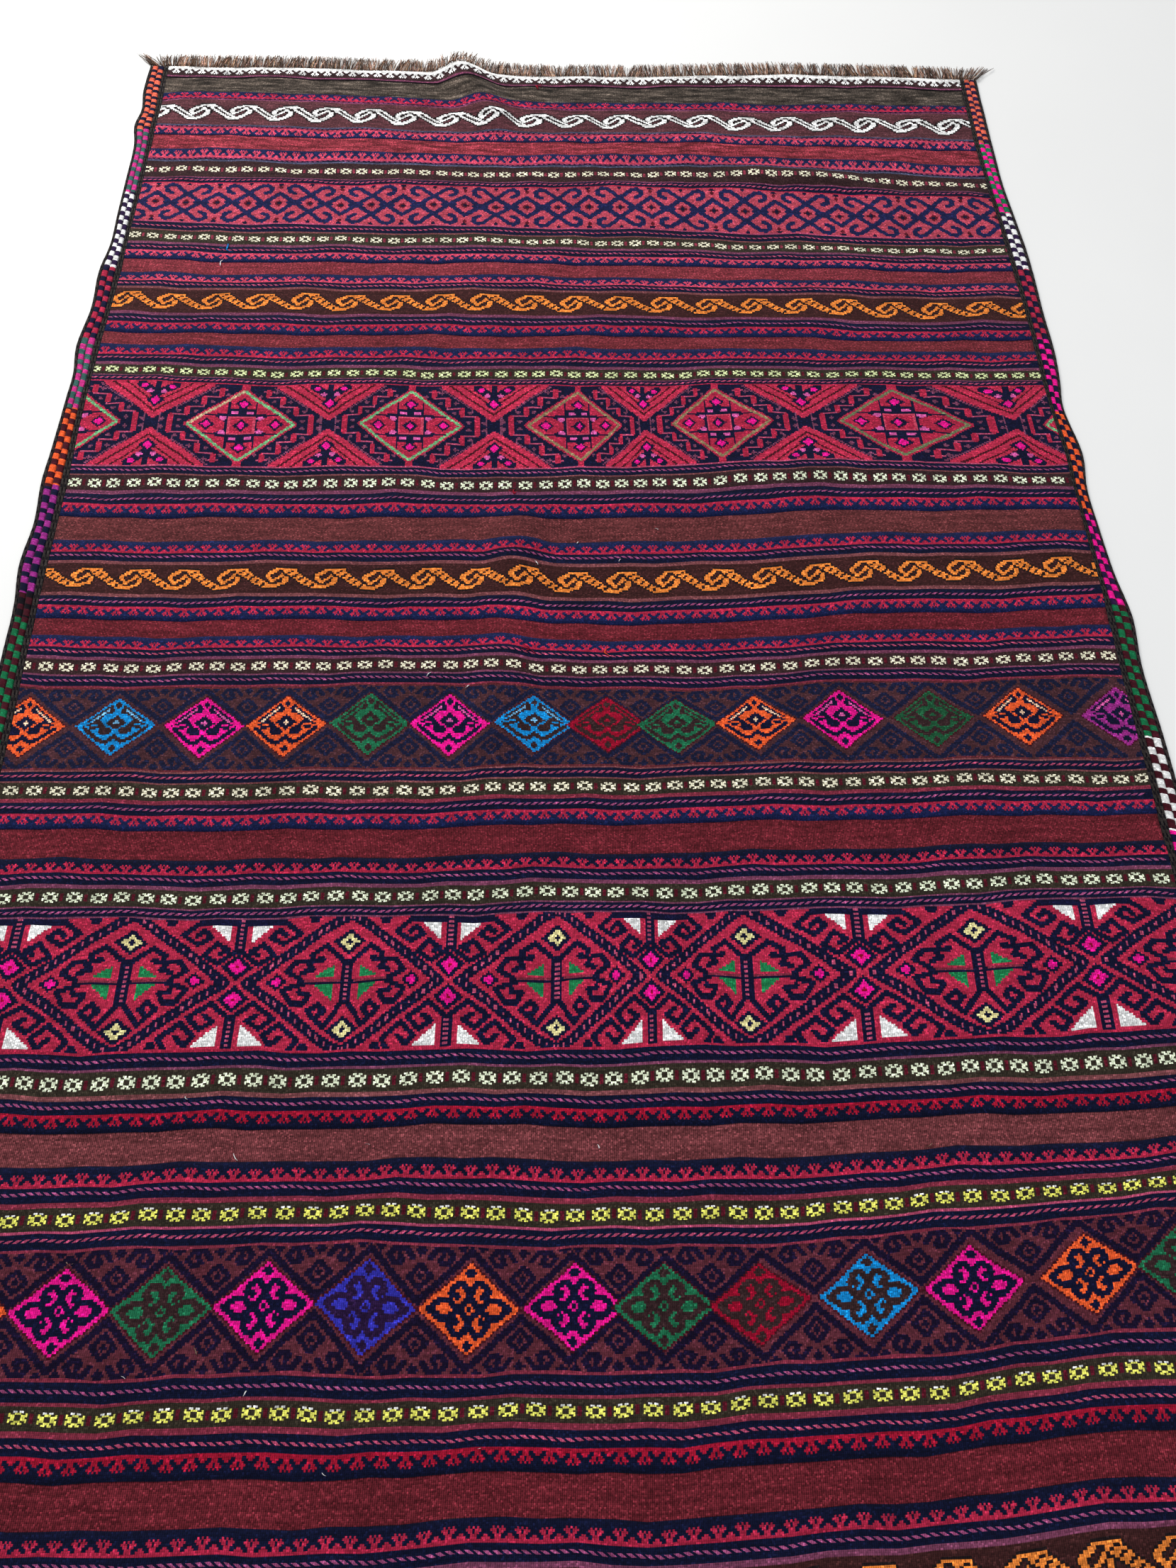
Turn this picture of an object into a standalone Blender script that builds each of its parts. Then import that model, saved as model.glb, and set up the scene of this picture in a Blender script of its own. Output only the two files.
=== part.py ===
"""A flat-woven wool kilim rug lying on a floor, with bound sides and a short warp fringe at each end.

Distances along the floor are first worked out in the rug's own frame: `across` runs from the left side to
the right, and `along` from the far end to the near one. X is across and Y runs towards the far end, so
along grows towards -Y. The origin ends up under the middle of the whole rug, at floor level.
"""

import math
import random
from collections import namedtuple

import bmesh
import bpy
import numpy as np

MM = 0.001

# Thicknesses and widths
CLOTH_THICK = 2.5 * MM
GAP = 0.3 * MM
SELVEDGE_CREST = 5.0 * MM
SELVEDGE_VALLEY = 2.6 * MM

# The outline of the whole rug and of the woven field between its side bindings, as it lies, in mm
Outline = namedtuple("Outline", "along left_outer left_field right_field right_outer")
OUTLINE = [
    Outline(0, -20, 19, 1606, 1641),
    Outline(90, -19, 23, 1606, 1640),
    Outline(150, -12, 26, 1606, 1641),
    Outline(190, -17, 27, 1607, 1641),
    Outline(250, -7, 28, 1608, 1642),
    Outline(350, -3, 31, 1612, 1644),
    Outline(450, 0, 33, 1618, 1652),
    Outline(540, 3, 35, 1622, 1659),
    Outline(600, -3, 37, 1625, 1661),
    Outline(700, 2, 38, 1630, 1662),
    Outline(800, -4, 37, 1631, 1665),
    Outline(860, 4, 38, 1632, 1662),
    Outline(910, 4, 38, 1634, 1657),
    Outline(1030, 4, 43, 1641, 1670),
    Outline(1090, 3, 46, 1642, 1664),
    Outline(1180, 10, 48, 1645, 1668),
    Outline(1260, 6, 50, 1647, 1674),
    Outline(1340, 16, 53, 1648, 1685),
    Outline(1420, 19, 56, 1648, 1681),
    Outline(1550, 24, 62, 1650, 1687),
    Outline(1900, 30, 70, 1655, 1692),
    Outline(2530, 22, 62, 1652, 1690),
    Outline(3100, 14, 54, 1646, 1684),
    Outline(3830, 12, 52, 1638, 1676),
]

# Where the woven ends lie at each place across, in mm
EndLine = namedtuple("EndLine", "across far near")
END_LINES = [
    EndLine(-20, 4, 3832),
    EndLine(60, 7, 3831),
    EndLine(300, 10, 3828),
    EndLine(450, 17, 3825),
    EndLine(620, 23, 3821),
    EndLine(760, 32, 3817),
    EndLine(1000, 32, 3808),
    EndLine(1180, 24, 3800),
    EndLine(1360, 25, 3790),
    EndLine(1500, 31, 3781),
    EndLine(1690, 40, 3768),
]

# Ripples: ridges from start to end, with a half-width on either side and heights at start, middle and end, in mm
Ripple = namedtuple(
    "Ripple", "start_across start_along end_across end_along width_left width_right start middle end"
)
RIPPLES = [
    Ripple(594, -10, 722, 250, 62, 66, 25.0, 19.0, 0.0),
    Ripple(1060, 315, 1460, 372, 38, 42, 0.0, 13.0, 0.0),
    Ripple(768, 1070, 758, 1370, 72, 62, 0.0, 15.0, 0.0),
    Ripple(760, 1270, 752, 1650, 72, 62, 0.0, 14.0, 0.0),
    Ripple(800, 300, 1010, 270, 30, 30, 0.0, 4.0, 0.0),
    Ripple(1150, 1062, 1420, 1040, 45, 45, 0.0, 5.0, 0.0),
]

# The cords side by side in each binding: share of the binding's width, and flats that round each one
Cord = namedtuple("Cord", "share flats")
BINDING_CORDS = [
    Cord(0.15, 2),
    Cord(0.29, 3),
    Cord(0.29, 3),
    Cord(0.27, 3),
]

# Zones of rows along the rug: where each one ends in mm, and how many rows it holds
RowZone = namedtuple("RowZone", "end rows")
ROW_ZONES = [
    RowZone(432, 18),
    RowZone(1680, 26),
    RowZone(3830, 26),
]
COLUMNS = 72

# Fringe
LOCKS = 92
LOCK_SHARE = 0.62
STRIP_WIDTH = 4.0 * MM
LOCK_LENGTH = 40.0 * MM
LOCK_LENGTH_SPREAD = 7.0 * MM
LOCK_LEAN_SPREAD = 0.22
CORNER_LEAN = 0.75
CORNER_REACH = 60.0 * MM
LOCK_DROOP = 0.25
FRINGE_SEED = 11
LockStep = namedtuple("LockStep", "share width height")
LOCK_STEPS = [
    LockStep(0.5, 0.78, 0.85),
    LockStep(1.0, 0.42, 0.60),
]

# Colours as linear RGB
CLOTH_COLOR = (0.105, 0.012, 0.018, 1.0)
BINDING_COLOR = (0.045, 0.020, 0.035, 1.0)
FRINGE_COLOR = (0.190, 0.130, 0.100, 1.0)
WOOL_ROUGHNESS = 0.95


def smooth_between(places, values, at):
    """A smooth curve through the values at their places, read at other places."""
    places = np.asarray(places, float)
    values = np.asarray(values, float)
    at = np.clip(at, places[0], places[-1])
    slopes = np.gradient(values, places)
    index = np.clip(np.searchsorted(places, at, side="right") - 1, 0, len(places) - 2)
    span = places[index + 1] - places[index]
    w = (at - places[index]) / span
    return (
        values[index] * (1 + 2 * w) * (1 - w) ** 2
        + values[index + 1] * w**2 * (3 - 2 * w)
        + slopes[index] * span * w * (1 - w) ** 2
        - slopes[index + 1] * span * w**2 * (1 - w)
    )


def side(column, along):
    """Where one line of the outline lies across, at a place along, in metres."""
    places = [row.along for row in OUTLINE]
    values = [getattr(row, column) for row in OUTLINE]
    return float(smooth_between(places, values, along / MM)) * MM


def end_line(column, across):
    """Where the far or near end lies along, at a place across, in metres."""
    places = [row.across for row in END_LINES]
    values = [getattr(row, column) for row in END_LINES]
    return float(smooth_between(places, values, across / MM)) * MM


def eased(w):
    return 0.5 - 0.5 * math.cos(math.pi * w)


def ripple_height(ripple, across, along):
    """Height of one ridge over a place on the floor, in mm like its table."""
    run = (ripple.end_across - ripple.start_across, ripple.end_along - ripple.start_along)
    length = math.hypot(*run)
    away = (across - ripple.start_across, along - ripple.start_along)
    w = (away[0] * run[0] + away[1] * run[1]) / length**2
    offset = (away[0] * run[1] - away[1] * run[0]) / length
    width = ripple.width_right if offset > 0 else ripple.width_left
    if abs(offset) >= width or w >= 1 or (w <= 0 and ripple.start == 0):
        return 0.0
    w = max(w, 0.0)
    if w < 0.5:
        crest = ripple.start + (ripple.middle - ripple.start) * eased(2 * w)
    else:
        crest = ripple.middle + (ripple.end - ripple.middle) * eased(2 * w - 1)
    return crest * (1 - eased(abs(offset) / width))


def lift(across, along):
    """How high the cloth's underside stands over the floor, in metres."""
    return sum(ripple_height(ripple, across / MM, along / MM) for ripple in RIPPLES) * MM


def row_shares():
    """The rows of points along the rug, as shares of its length."""
    places = [0.0]
    for zone in ROW_ZONES:
        places.extend(np.linspace(places[-1], zone.end, zone.rows + 1)[1:])
    return [place / places[-1] for place in places]


def end_point(column, left_column, right_column, share_across):
    """Where the far or near end lies along, at a share of the way between two lines of the outline."""
    at = OUTLINE[0 if column == "far" else -1].along * MM
    left, right = side(left_column, at), side(right_column, at)
    return end_line(column, left + share_across * (right - left))


def lying(left_column, right_column, share_across, share_along):
    """The floor point at these shares between two lines of the outline and between the two ends."""
    far = end_point("far", left_column, right_column, share_across)
    near = end_point("near", left_column, right_column, share_across)
    along = far + share_along * (near - far)
    left, right = side(left_column, along), side(right_column, along)
    return left + share_across * (right - left), along


def new_material(name, color):
    material = bpy.data.materials.new(name)
    material.use_nodes = True
    shader = material.node_tree.nodes["Principled BSDF"]
    shader.inputs["Base Color"].default_value = color
    shader.inputs["Roughness"].default_value = WOOL_ROUGHNESS
    shader.inputs["Metallic"].default_value = 0.0
    return material


def new_object(name, bm, material):
    """The bmesh as an object of the rug, with soft shading over its rounded faces."""
    mesh = bpy.data.meshes.new(name)
    bm.to_mesh(mesh)
    bm.free()
    mesh.materials.append(material)
    mesh.shade_smooth()
    mesh.set_sharp_from_angle(angle=math.radians(50))
    obj = bpy.data.objects.new(name, mesh)
    rug_parts.objects.link(obj)
    obj.parent = rug_middle
    return obj


def make_cloth(material):
    """The woven sheet: a grid laid over its ripples, drawn straight up to its thickness."""
    shares = row_shares()
    bm = bmesh.new()
    bmesh.ops.create_grid(bm, x_segments=COLUMNS, y_segments=len(shares) - 1, size=0.5)
    for vert in bm.verts:
        row = round((0.5 - vert.co.y) * (len(shares) - 1))
        across, along = lying("left_field", "right_field", vert.co.x + 0.5, shares[row])
        vert.co = (across, -along, lift(across, along))
    drawn = bmesh.ops.extrude_face_region(bm, geom=bm.faces[:], use_keep_orig=True)["geom"]
    top = [element for element in drawn if isinstance(element, bmesh.types.BMVert)]
    bmesh.ops.translate(bm, verts=top, vec=(0, 0, CLOTH_THICK))
    bmesh.ops.recalc_face_normals(bm, faces=bm.faces)
    return new_object("kilim", bm, material)


def binding_profile():
    """Points over the cords of a binding, outer side first, as (share of its width, height)."""
    points = []
    start = 0.0
    for cord in BINDING_CORDS:
        for step in range(cord.flats + 1):
            turn = math.pi * step / cord.flats
            share = start + cord.share * 0.5 * (1 - math.cos(turn))
            height = SELVEDGE_VALLEY + (SELVEDGE_CREST - SELVEDGE_VALLEY) * math.sin(turn)
            if step > 0 or not points:
                points.append((share, height))
        start += cord.share
    return points


def make_binding(name, outer_column, field_column, material):
    """One side binding: its cords' rounded tops and flat underside, lofted along the rug's edge."""
    outward = -1 if outer_column == "left_outer" else 1
    profile = [(0.0, 0.0)] + binding_profile() + [(1.0, 0.0)]
    shares = row_shares()
    bm = bmesh.new()
    sections = []
    for share_along in shares:
        section = []
        for share, height in profile:
            across, along = lying(outer_column, field_column, share, share_along)
            across += outward * GAP * share
            section.append(bm.verts.new((across, -along, height)))
        sections.append(section)
    for first, second in zip(sections, sections[1:]):
        for i in range(len(profile)):
            j = (i + 1) % len(profile)
            bm.faces.new((first[i], first[j], second[j], second[i]))
    bm.faces.new(sections[0])
    bm.faces.new(sections[-1])
    bmesh.ops.recalc_face_normals(bm, faces=bm.faces)
    return new_object(name, bm, material)


def fringe_places(rng):
    """The edges of locks and of the spaces between them, as shares of the strip, each one a little uneven."""
    places = [0.0]
    for _ in range(LOCKS):
        places.append(places[-1] + LOCK_SHARE * rng.uniform(0.8, 1.2))
        places.append(places[-1] + (1 - LOCK_SHARE) * rng.uniform(0.8, 1.2))
    places.pop()
    return [place / places[-1] for place in places]


def lock_lean(across, left, right, rng):
    """How far a lock leans sideways for each metre of its length; those near a corner spread out."""
    lean = rng.uniform(-LOCK_LEAN_SPREAD, LOCK_LEAN_SPREAD)
    lean -= CORNER_LEAN * max(0.0, 1 - (across - left) / CORNER_REACH)
    lean += CORNER_LEAN * max(0.0, 1 - (right - across) / CORNER_REACH)
    return lean


def make_fringe(name, end_column, outward, material, seed):
    """A narrow strip past one end of the cloth, with a lock drawn out of every second face of its outer side."""
    rng = random.Random(seed)
    middle_along = end_line(end_column, side("left_outer", 0.0))
    left, right = side("left_outer", middle_along), side("right_outer", middle_along)
    places = fringe_places(rng)
    bm = bmesh.new()
    columns = []
    for place in places:
        across = left + place * (right - left)
        edge = end_line(end_column, across) + outward * GAP
        raised = lift(across, edge)
        column = [
            bm.verts.new((across, -(edge + outward * depth), raised + height))
            for depth, height in ((0, 0), (0, CLOTH_THICK), (STRIP_WIDTH, CLOTH_THICK), (STRIP_WIDTH, 0))
        ]
        columns.append(column)
    outer_faces = []
    for first, second in zip(columns, columns[1:]):
        faces = [bm.faces.new((first[i], second[i], second[i - 3], first[i - 3])) for i in range(4)]
        outer_faces.append(faces[2])
    bm.faces.new(columns[0])
    bm.faces.new(columns[-1])
    for face in outer_faces[::2]:
        draw_lock(bm, face, left, right, outward, rng)
    bmesh.ops.recalc_face_normals(bm, faces=bm.faces)
    return new_object(name, bm, material)


def draw_lock(bm, face, left, right, outward, rng):
    """Draws one lock out of a face in steps, narrower and lower towards its tip."""
    root = face.calc_center_median()
    root_level = min(vert.co.z for vert in face.verts)
    lean = lock_lean(root.x, left, right, rng)
    bend = rng.uniform(-LOCK_LEAN_SPREAD, LOCK_LEAN_SPREAD)
    length = LOCK_LENGTH + rng.uniform(-LOCK_LENGTH_SPREAD, LOCK_LENGTH_SPREAD)
    before = LockStep(0.0, 1.0, 1.0)
    for step in LOCK_STEPS:
        middle = face.calc_center_median()
        low = min(vert.co.z for vert in face.verts)
        face = bmesh.ops.extrude_discrete_faces(bm, faces=[face])["faces"][0]
        reach = length * step.share
        slip = (lean + bend * step.share) * reach
        level = root_level * (1 - LOCK_DROOP * step.share)
        for vert in face.verts:
            vert.co.x = root.x + slip + (vert.co.x - middle.x) * step.width / before.width
            vert.co.y = root.y - outward * reach + (vert.co.y - middle.y) * step.width / before.width
            vert.co.z = level + (vert.co.z - low) * step.height / before.height
        before = step


def clear_scene():
    for obj in list(bpy.data.objects):
        bpy.data.objects.remove(obj, do_unlink=True)


def centre_rug(parts):
    """Moves the rug's parent so that the middle of everything built lies over the origin."""
    bpy.context.view_layer.update()
    corners = [part.matrix_world @ vert.co for part in parts for vert in part.data.vertices]
    for axis in (0, 1):
        low = min(corner[axis] for corner in corners)
        high = max(corner[axis] for corner in corners)
        rug_middle.location[axis] = -0.5 * (low + high)
    bpy.context.view_layer.update()


clear_scene()
rug_parts = bpy.data.collections.new("kilim_rug")
bpy.context.scene.collection.children.link(rug_parts)
rug_middle = bpy.data.objects.new("rug_middle", None)
rug_parts.objects.link(rug_middle)

cloth_wool = new_material("cloth_wool", CLOTH_COLOR)
binding_wool = new_material("binding_wool", BINDING_COLOR)
fringe_wool = new_material("fringe_wool", FRINGE_COLOR)

centre_rug(
    [
        make_cloth(cloth_wool),
        make_binding("selvedge_left", "left_outer", "left_field", binding_wool),
        make_binding("selvedge_right", "right_outer", "right_field", binding_wool),
        make_fringe("fringe_far", "far", -1, fringe_wool, FRINGE_SEED),
        make_fringe("fringe_near", "near", 1, fringe_wool, FRINGE_SEED + 1),
    ]
)
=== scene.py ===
"""Looks of the kilim rug: brocaded bands on a flat-woven ground, overcast side bindings and warp fringes.

Lengths in the tables are in mm. `across` and `along` are the rug's own frame, as in the part's source: across
runs from the left side to the right, and along from the far end to the near one. The weave has a frame of its
own: `x` runs over the field from its left edge, and `t` counts along the warp. Both are stretched onto the
floor by the outline and by the drift of the rows.
"""

import math
import random
from collections import namedtuple

import bpy
import numpy as np
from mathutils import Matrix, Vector


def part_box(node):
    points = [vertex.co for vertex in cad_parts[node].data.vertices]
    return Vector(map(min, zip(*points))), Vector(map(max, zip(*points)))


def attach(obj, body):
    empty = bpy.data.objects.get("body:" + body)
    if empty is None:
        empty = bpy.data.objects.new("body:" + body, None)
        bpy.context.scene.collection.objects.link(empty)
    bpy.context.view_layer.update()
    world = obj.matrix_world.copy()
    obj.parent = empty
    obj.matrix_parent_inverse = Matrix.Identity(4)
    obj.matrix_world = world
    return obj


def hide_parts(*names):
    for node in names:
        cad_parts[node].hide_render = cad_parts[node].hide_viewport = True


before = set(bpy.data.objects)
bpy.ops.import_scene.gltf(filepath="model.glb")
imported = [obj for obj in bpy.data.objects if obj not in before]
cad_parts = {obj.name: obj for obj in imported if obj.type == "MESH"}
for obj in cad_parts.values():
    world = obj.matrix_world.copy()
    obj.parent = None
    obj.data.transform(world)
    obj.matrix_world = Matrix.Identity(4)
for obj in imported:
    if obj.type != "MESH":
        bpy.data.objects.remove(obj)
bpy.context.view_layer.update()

MM = 0.001

# ---------------------------------------------------------------- the rug as it lies, as in the part's source

Outline = namedtuple("Outline", "along left_outer left_field right_field right_outer")
OUTLINE = [Outline(*row) for row in (
    (0, -20, 19, 1606, 1641), (90, -19, 23, 1606, 1640), (150, -12, 26, 1606, 1641),
    (190, -17, 27, 1607, 1641), (250, -7, 28, 1608, 1642), (350, -3, 31, 1612, 1644),
    (450, 0, 33, 1618, 1652), (540, 3, 35, 1622, 1659), (600, -3, 37, 1625, 1661), (700, 2, 38, 1630, 1662),
    (800, -4, 37, 1631, 1665), (860, 4, 38, 1632, 1662), (910, 4, 38, 1634, 1657),
    (1030, 4, 43, 1641, 1670), (1090, 3, 46, 1642, 1664), (1180, 10, 48, 1645, 1668),
    (1260, 6, 50, 1647, 1674), (1340, 16, 53, 1648, 1685), (1420, 19, 56, 1648, 1681),
    (1550, 24, 62, 1650, 1687), (1900, 30, 70, 1655, 1692), (2530, 22, 62, 1652, 1690),
    (3100, 14, 54, 1646, 1684), (3830, 12, 52, 1638, 1676),
)]

EndLine = namedtuple("EndLine", "across far near")
END_LINES = [EndLine(*row) for row in (
    (-20, 4, 3832), (60, 7, 3831), (300, 10, 3828), (450, 17, 3825), (620, 23, 3821), (760, 32, 3817),
    (1000, 32, 3808), (1180, 24, 3800), (1360, 25, 3790), (1500, 31, 3781), (1690, 40, 3768),
)]

Ripple = namedtuple(
    "Ripple", "start_across start_along end_across end_along width_left width_right start middle end"
)
RIPPLES = [Ripple(*row) for row in (
    (594, -10, 722, 250, 62, 66, 25.0, 19.0, 0.0), (1060, 315, 1460, 372, 38, 42, 0.0, 13.0, 0.0),
    (768, 1070, 758, 1370, 72, 62, 0.0, 15.0, 0.0), (760, 1270, 752, 1650, 72, 62, 0.0, 14.0, 0.0),
    (800, 300, 1010, 270, 30, 30, 0.0, 4.0, 0.0), (1150, 1062, 1420, 1040, 45, 45, 0.0, 5.0, 0.0),
)]

# How far the rows of weft lie from their own t, at some places across
DRIFT_ACROSS = (60, 300, 540, 760, 1000, 1240, 1480, 1600)
Drift = namedtuple("Drift", "t moves")
DRIFTS = [Drift(*row) for row in (
    (10, (-3, 0, 10, 22, 22, 14, 20, 26)), (105, (-3, 0, 16, 24, 24, 27, 28, 28)),
    (200, (-5, 0, 10, 15, 12, 20, 25, 30)), (300, (-5, 0, 5, 11, 6, 13, 28, 35)),
    (362, (-3, 0, 3, 7, 3, 15, 27, 28)), (485, (-7, 0, 1, 5, 10, 20, 28, 28)),
    (548, (-8, 0, -1, 0, 6, 10, 17, 17)), (645, (-3, 0, 0, -2, 5, 5, 12, 12)),
    (727, (-4, 0, 0, 0, 1, 3, 11, 6)), (853, (-9, 0, -1, -1, -2, -7, -4, -7)),
    (1064, (-2, 0, -2, 1, -9, -22, -16, -16)), (1212, (0, 0, -4, -4, -5, -22, -29, -32)),
    (1325, (0, 0, -3, -2, 2, -18, -27, -33)), (1473, (0, 0, -8, -6, -3, -18, -25, -30)),
    (1622, (0, 0, -4, -10, -16, -25, -30, -32)), (1803, (0, 0, -4, -12, -16, -24, -36, -42)),
    (1998, (8, 5, 0, -3, -10, -16, -30, -37)), (2092, (14, 11, 4, -2, -2, -14, -24, -32)),
    (2217, (13, 10, -1, 0, -1, -16, -39, -47)), (2367, (10, 7, 0, -2, -10, -26, -51, -60)),
    (2500, (8, 5, 3, -8, -12, -30, -53, -60)), (3828, (3, 0, -5, -11, -20, -31, -46, -53)),
)]

FIELD_START = 10.0
FIELD_END = 3828.0
FIELD_WIDTH = 1588.0
GROUND_LOW = 0.15
GROUND_HIGH = 1.75
GROUND_COVERED = 1.0
BROCADE_HIGH = 2.35


def smooth_between(places, values, at):
    """A smooth curve through values at their places, read at others. A second axis has a curve for each."""
    places, values = np.asarray(places, float), np.asarray(values, float)
    at = np.clip(at, places[0], places[-1])
    slopes = np.gradient(values, places, axis=0)
    index = np.clip(np.searchsorted(places, at, side="right") - 1, 0, len(places) - 2)
    span = places[index + 1] - places[index]
    w = (at - places[index]) / span
    here = (index,) + (np.arange(np.size(at)),) * (values.ndim - 1)
    ahead = (index + 1,) + here[1:]
    return (
        values[here] * (1 + 2 * w) * (1 - w) ** 2
        + values[ahead] * w**2 * (3 - 2 * w)
        + slopes[here] * span * w * (1 - w) ** 2
        - slopes[ahead] * span * w**2 * (1 - w)
    )


def side(column, along):
    """Where one line of the outline lies across, at places along."""
    return smooth_between(*zip(*((row.along, getattr(row, column)) for row in OUTLINE)), along)


def end_line(column, across):
    """Where the far or near end lies along, at places across."""
    return smooth_between(*zip(*((row.across, getattr(row, column)) for row in END_LINES)), across)


def end_point(column, left_column, right_column, share_across):
    """Where an end lies along, at a share of the way between two lines of the outline."""
    at = OUTLINE[0 if column == "far" else -1].along
    left, right = side(left_column, at), side(right_column, at)
    return end_line(column, left + share_across * (right - left))


def lying(left_column, right_column, share_across, share_along):
    """The floor points at these shares between two lines of the outline and between the two ends."""
    far = end_point("far", left_column, right_column, share_across)
    near = end_point("near", left_column, right_column, share_across)
    along = far + share_along * (near - far)
    left, right = side(left_column, along), side(right_column, along)
    return left + share_across * (right - left), along


def eased(w):
    return 0.5 - 0.5 * np.cos(math.pi * w)


def ripple_height(ripple, across, along):
    """Height of one ridge over places on the floor."""
    run = (ripple.end_across - ripple.start_across, ripple.end_along - ripple.start_along)
    length = math.hypot(*run)
    away = (across - ripple.start_across, along - ripple.start_along)
    w = (away[0] * run[0] + away[1] * run[1]) / length**2
    offset = (away[0] * run[1] - away[1] * run[0]) / length
    width = np.where(offset > 0, ripple.width_right, ripple.width_left)
    outside = (np.abs(offset) >= width) | (w >= 1) | ((w <= 0) & (ripple.start == 0))
    w = np.clip(w, 0, 1)
    first = ripple.start + (ripple.middle - ripple.start) * eased(2 * w)
    second = ripple.middle + (ripple.end - ripple.middle) * eased(2 * w - 1)
    crest = np.where(w < 0.5, first, second)
    return np.where(outside, 0.0, crest * (1 - eased(np.abs(offset) / width)))


def lift(across, along):
    """How high the cloth's underside stands over the floor."""
    return sum(ripple_height(ripple, across, along) for ripple in RIPPLES)


def cockle(across, along):
    """Low puckers of the slack cloth between its folds, higher towards the far end."""
    waves = (
        np.sin(across / 33 + 1.6 * np.sin(along / 71)) * np.sin(along / 26 + 0.8 * np.sin(across / 90))
        + 0.7 * np.sin(across / 17 - along / 41) * np.sin(along / 15 + across / 60)
    )
    far = np.clip(1.25 - along / 1800, 0.35, 1.0)
    return 1.2 * far * (waves + 1.7)


def drift(across, t):
    """How far the weft rows lie from their own t."""
    times = [row.t for row in DRIFTS]
    lines = [smooth_between(times, moves, t) for moves in zip(*(row.moves for row in DRIFTS))]
    return smooth_between(DRIFT_ACROSS, lines, across)


def wobble(x, t):
    """The uneven beat of the weft: rows wander a little and bands grow thicker and thinner."""
    calm = np.clip(np.minimum(t - FIELD_START, FIELD_END - t) / 60, 0, 1)
    waves = (
        1.7 * np.sin(x / 49 + 2.5 * np.sin(t / 120))
        + 1.0 * np.sin(x / 21 + t / 47)
        + 0.6 * np.sin(x / 9.7 - t / 23)
    )
    return calm * waves


def woven(x, t):
    """Floor places, across and along, of points of the field's weave."""
    x, t = np.asarray(x, float), np.asarray(t, float)
    left, right = side("left_field", t), side("right_field", t)
    along = t + drift(left + x * (right - left) / FIELD_WIDTH, t) + wobble(x, t)
    left, right = side("left_field", along), side("right_field", along)
    return left + x * (right - left) / FIELD_WIDTH, along


def x_of(across, t):
    """The weave's x at a place across, on the row t."""
    left, right = float(side("left_field", t)), float(side("right_field", t))
    return (across - left) * FIELD_WIDTH / (right - left)


CLOTH_LOW, CLOTH_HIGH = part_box("kilim")
_corner = lying("left_field", "right_field", 0.0, 0.0)
SHIFT = (CLOTH_LOW[0] / MM - float(_corner[0]), CLOTH_HIGH[1] / MM + float(_corner[1]))


def to_world(across, along, height):
    """World points in metres from places on the rug and heights."""
    return np.stack([(across + SHIFT[0]) * MM, (SHIFT[1] - along) * MM, height * MM], axis=-1)


# ---------------------------------------------------------------- dyes

# Wool colours as they look under soft light, in sRGB
DYES = dict(
    navy=(17, 19, 50), border_navy=(15, 20, 48), ground_navy=(26, 29, 58), lattice_navy=(28, 32, 76),
    purple_navy=(42, 22, 62), black=(16, 12, 20), crimson=(184, 40, 72), rose=(206, 70, 98),
    pink=(188, 78, 112), bright_crimson=(172, 22, 52), major_crimson=(190, 44, 76), mauve=(124, 64, 92),
    mauve_brown=(128, 72, 76), mauve_crimson=(136, 48, 68), grey_blue=(78, 80, 106), wine=(78, 45, 51),
    dark_brown=(56, 36, 38), olive=(54, 47, 38), olive_brown=(76, 67, 60), maroon=(112, 36, 46),
    madder=(146, 52, 64), red_brown=(132, 50, 60), rust_brown=(122, 46, 54), light_brown=(108, 52, 54),
    reddish_brown=(120, 60, 64), cream=(250, 244, 214), green_white=(244, 253, 220),
    pale_green=(232, 244, 182), yellow=(252, 250, 112), wave_orange=(250, 142, 60), white=(250, 250, 248),
    orange=(250, 98, 48), magenta=(250, 22, 150), green=(32, 112, 76), sky=(20, 144, 220),
    royal=(56, 54, 184), dark_crimson=(156, 12, 44), violet=(162, 46, 140), leaf=(34, 134, 80),
    bottle_green=(30, 88, 56), pale_blue=(120, 190, 236), peach=(255, 214, 178),
    outline_green=(116, 186, 130), fawn_green=(150, 132, 96), faded_green=(116, 128, 92),
    beige=(196, 172, 136), ivory=(252, 252, 250), coral=(240, 110, 84), teal=(58, 100, 94),
    emerald=(22, 116, 72), dark_red=(70, 18, 30), blood=(90, 20, 36), hot_pink=(226, 96, 170),
    straw=(242, 230, 162), twill=(54, 48, 46), scroll_ground=(92, 52, 58), madder_shade=(104, 42, 50),
    wave_ground=(64, 33, 33), oxblood=(98, 44, 56), curl_black=(24, 15, 44), orchid=(166, 80, 126),
    mid_navy=(24, 33, 76), outline_brown=(34, 24, 26), cerise=(208, 52, 136), main_red=(198, 48, 80),
    lattice_rose=(190, 72, 92), fleece=(150, 122, 104), floor=(244, 244, 242),
)
DYE_NAMES = list(DYES)
DYE = {name: index for index, name in enumerate(DYE_NAMES)}


def linear(name):
    """A dye as linear RGBA."""
    shares = np.array(DYES[name]) / 255
    return tuple(np.where(shares <= 0.04045, shares / 12.92, ((shares + 0.055) / 1.055) ** 2.4)) + (1.0,)


DYE_LINEAR = np.array([linear(name) for name in DYE_NAMES])

# ---------------------------------------------------------------- bands of the field, far end first

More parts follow.
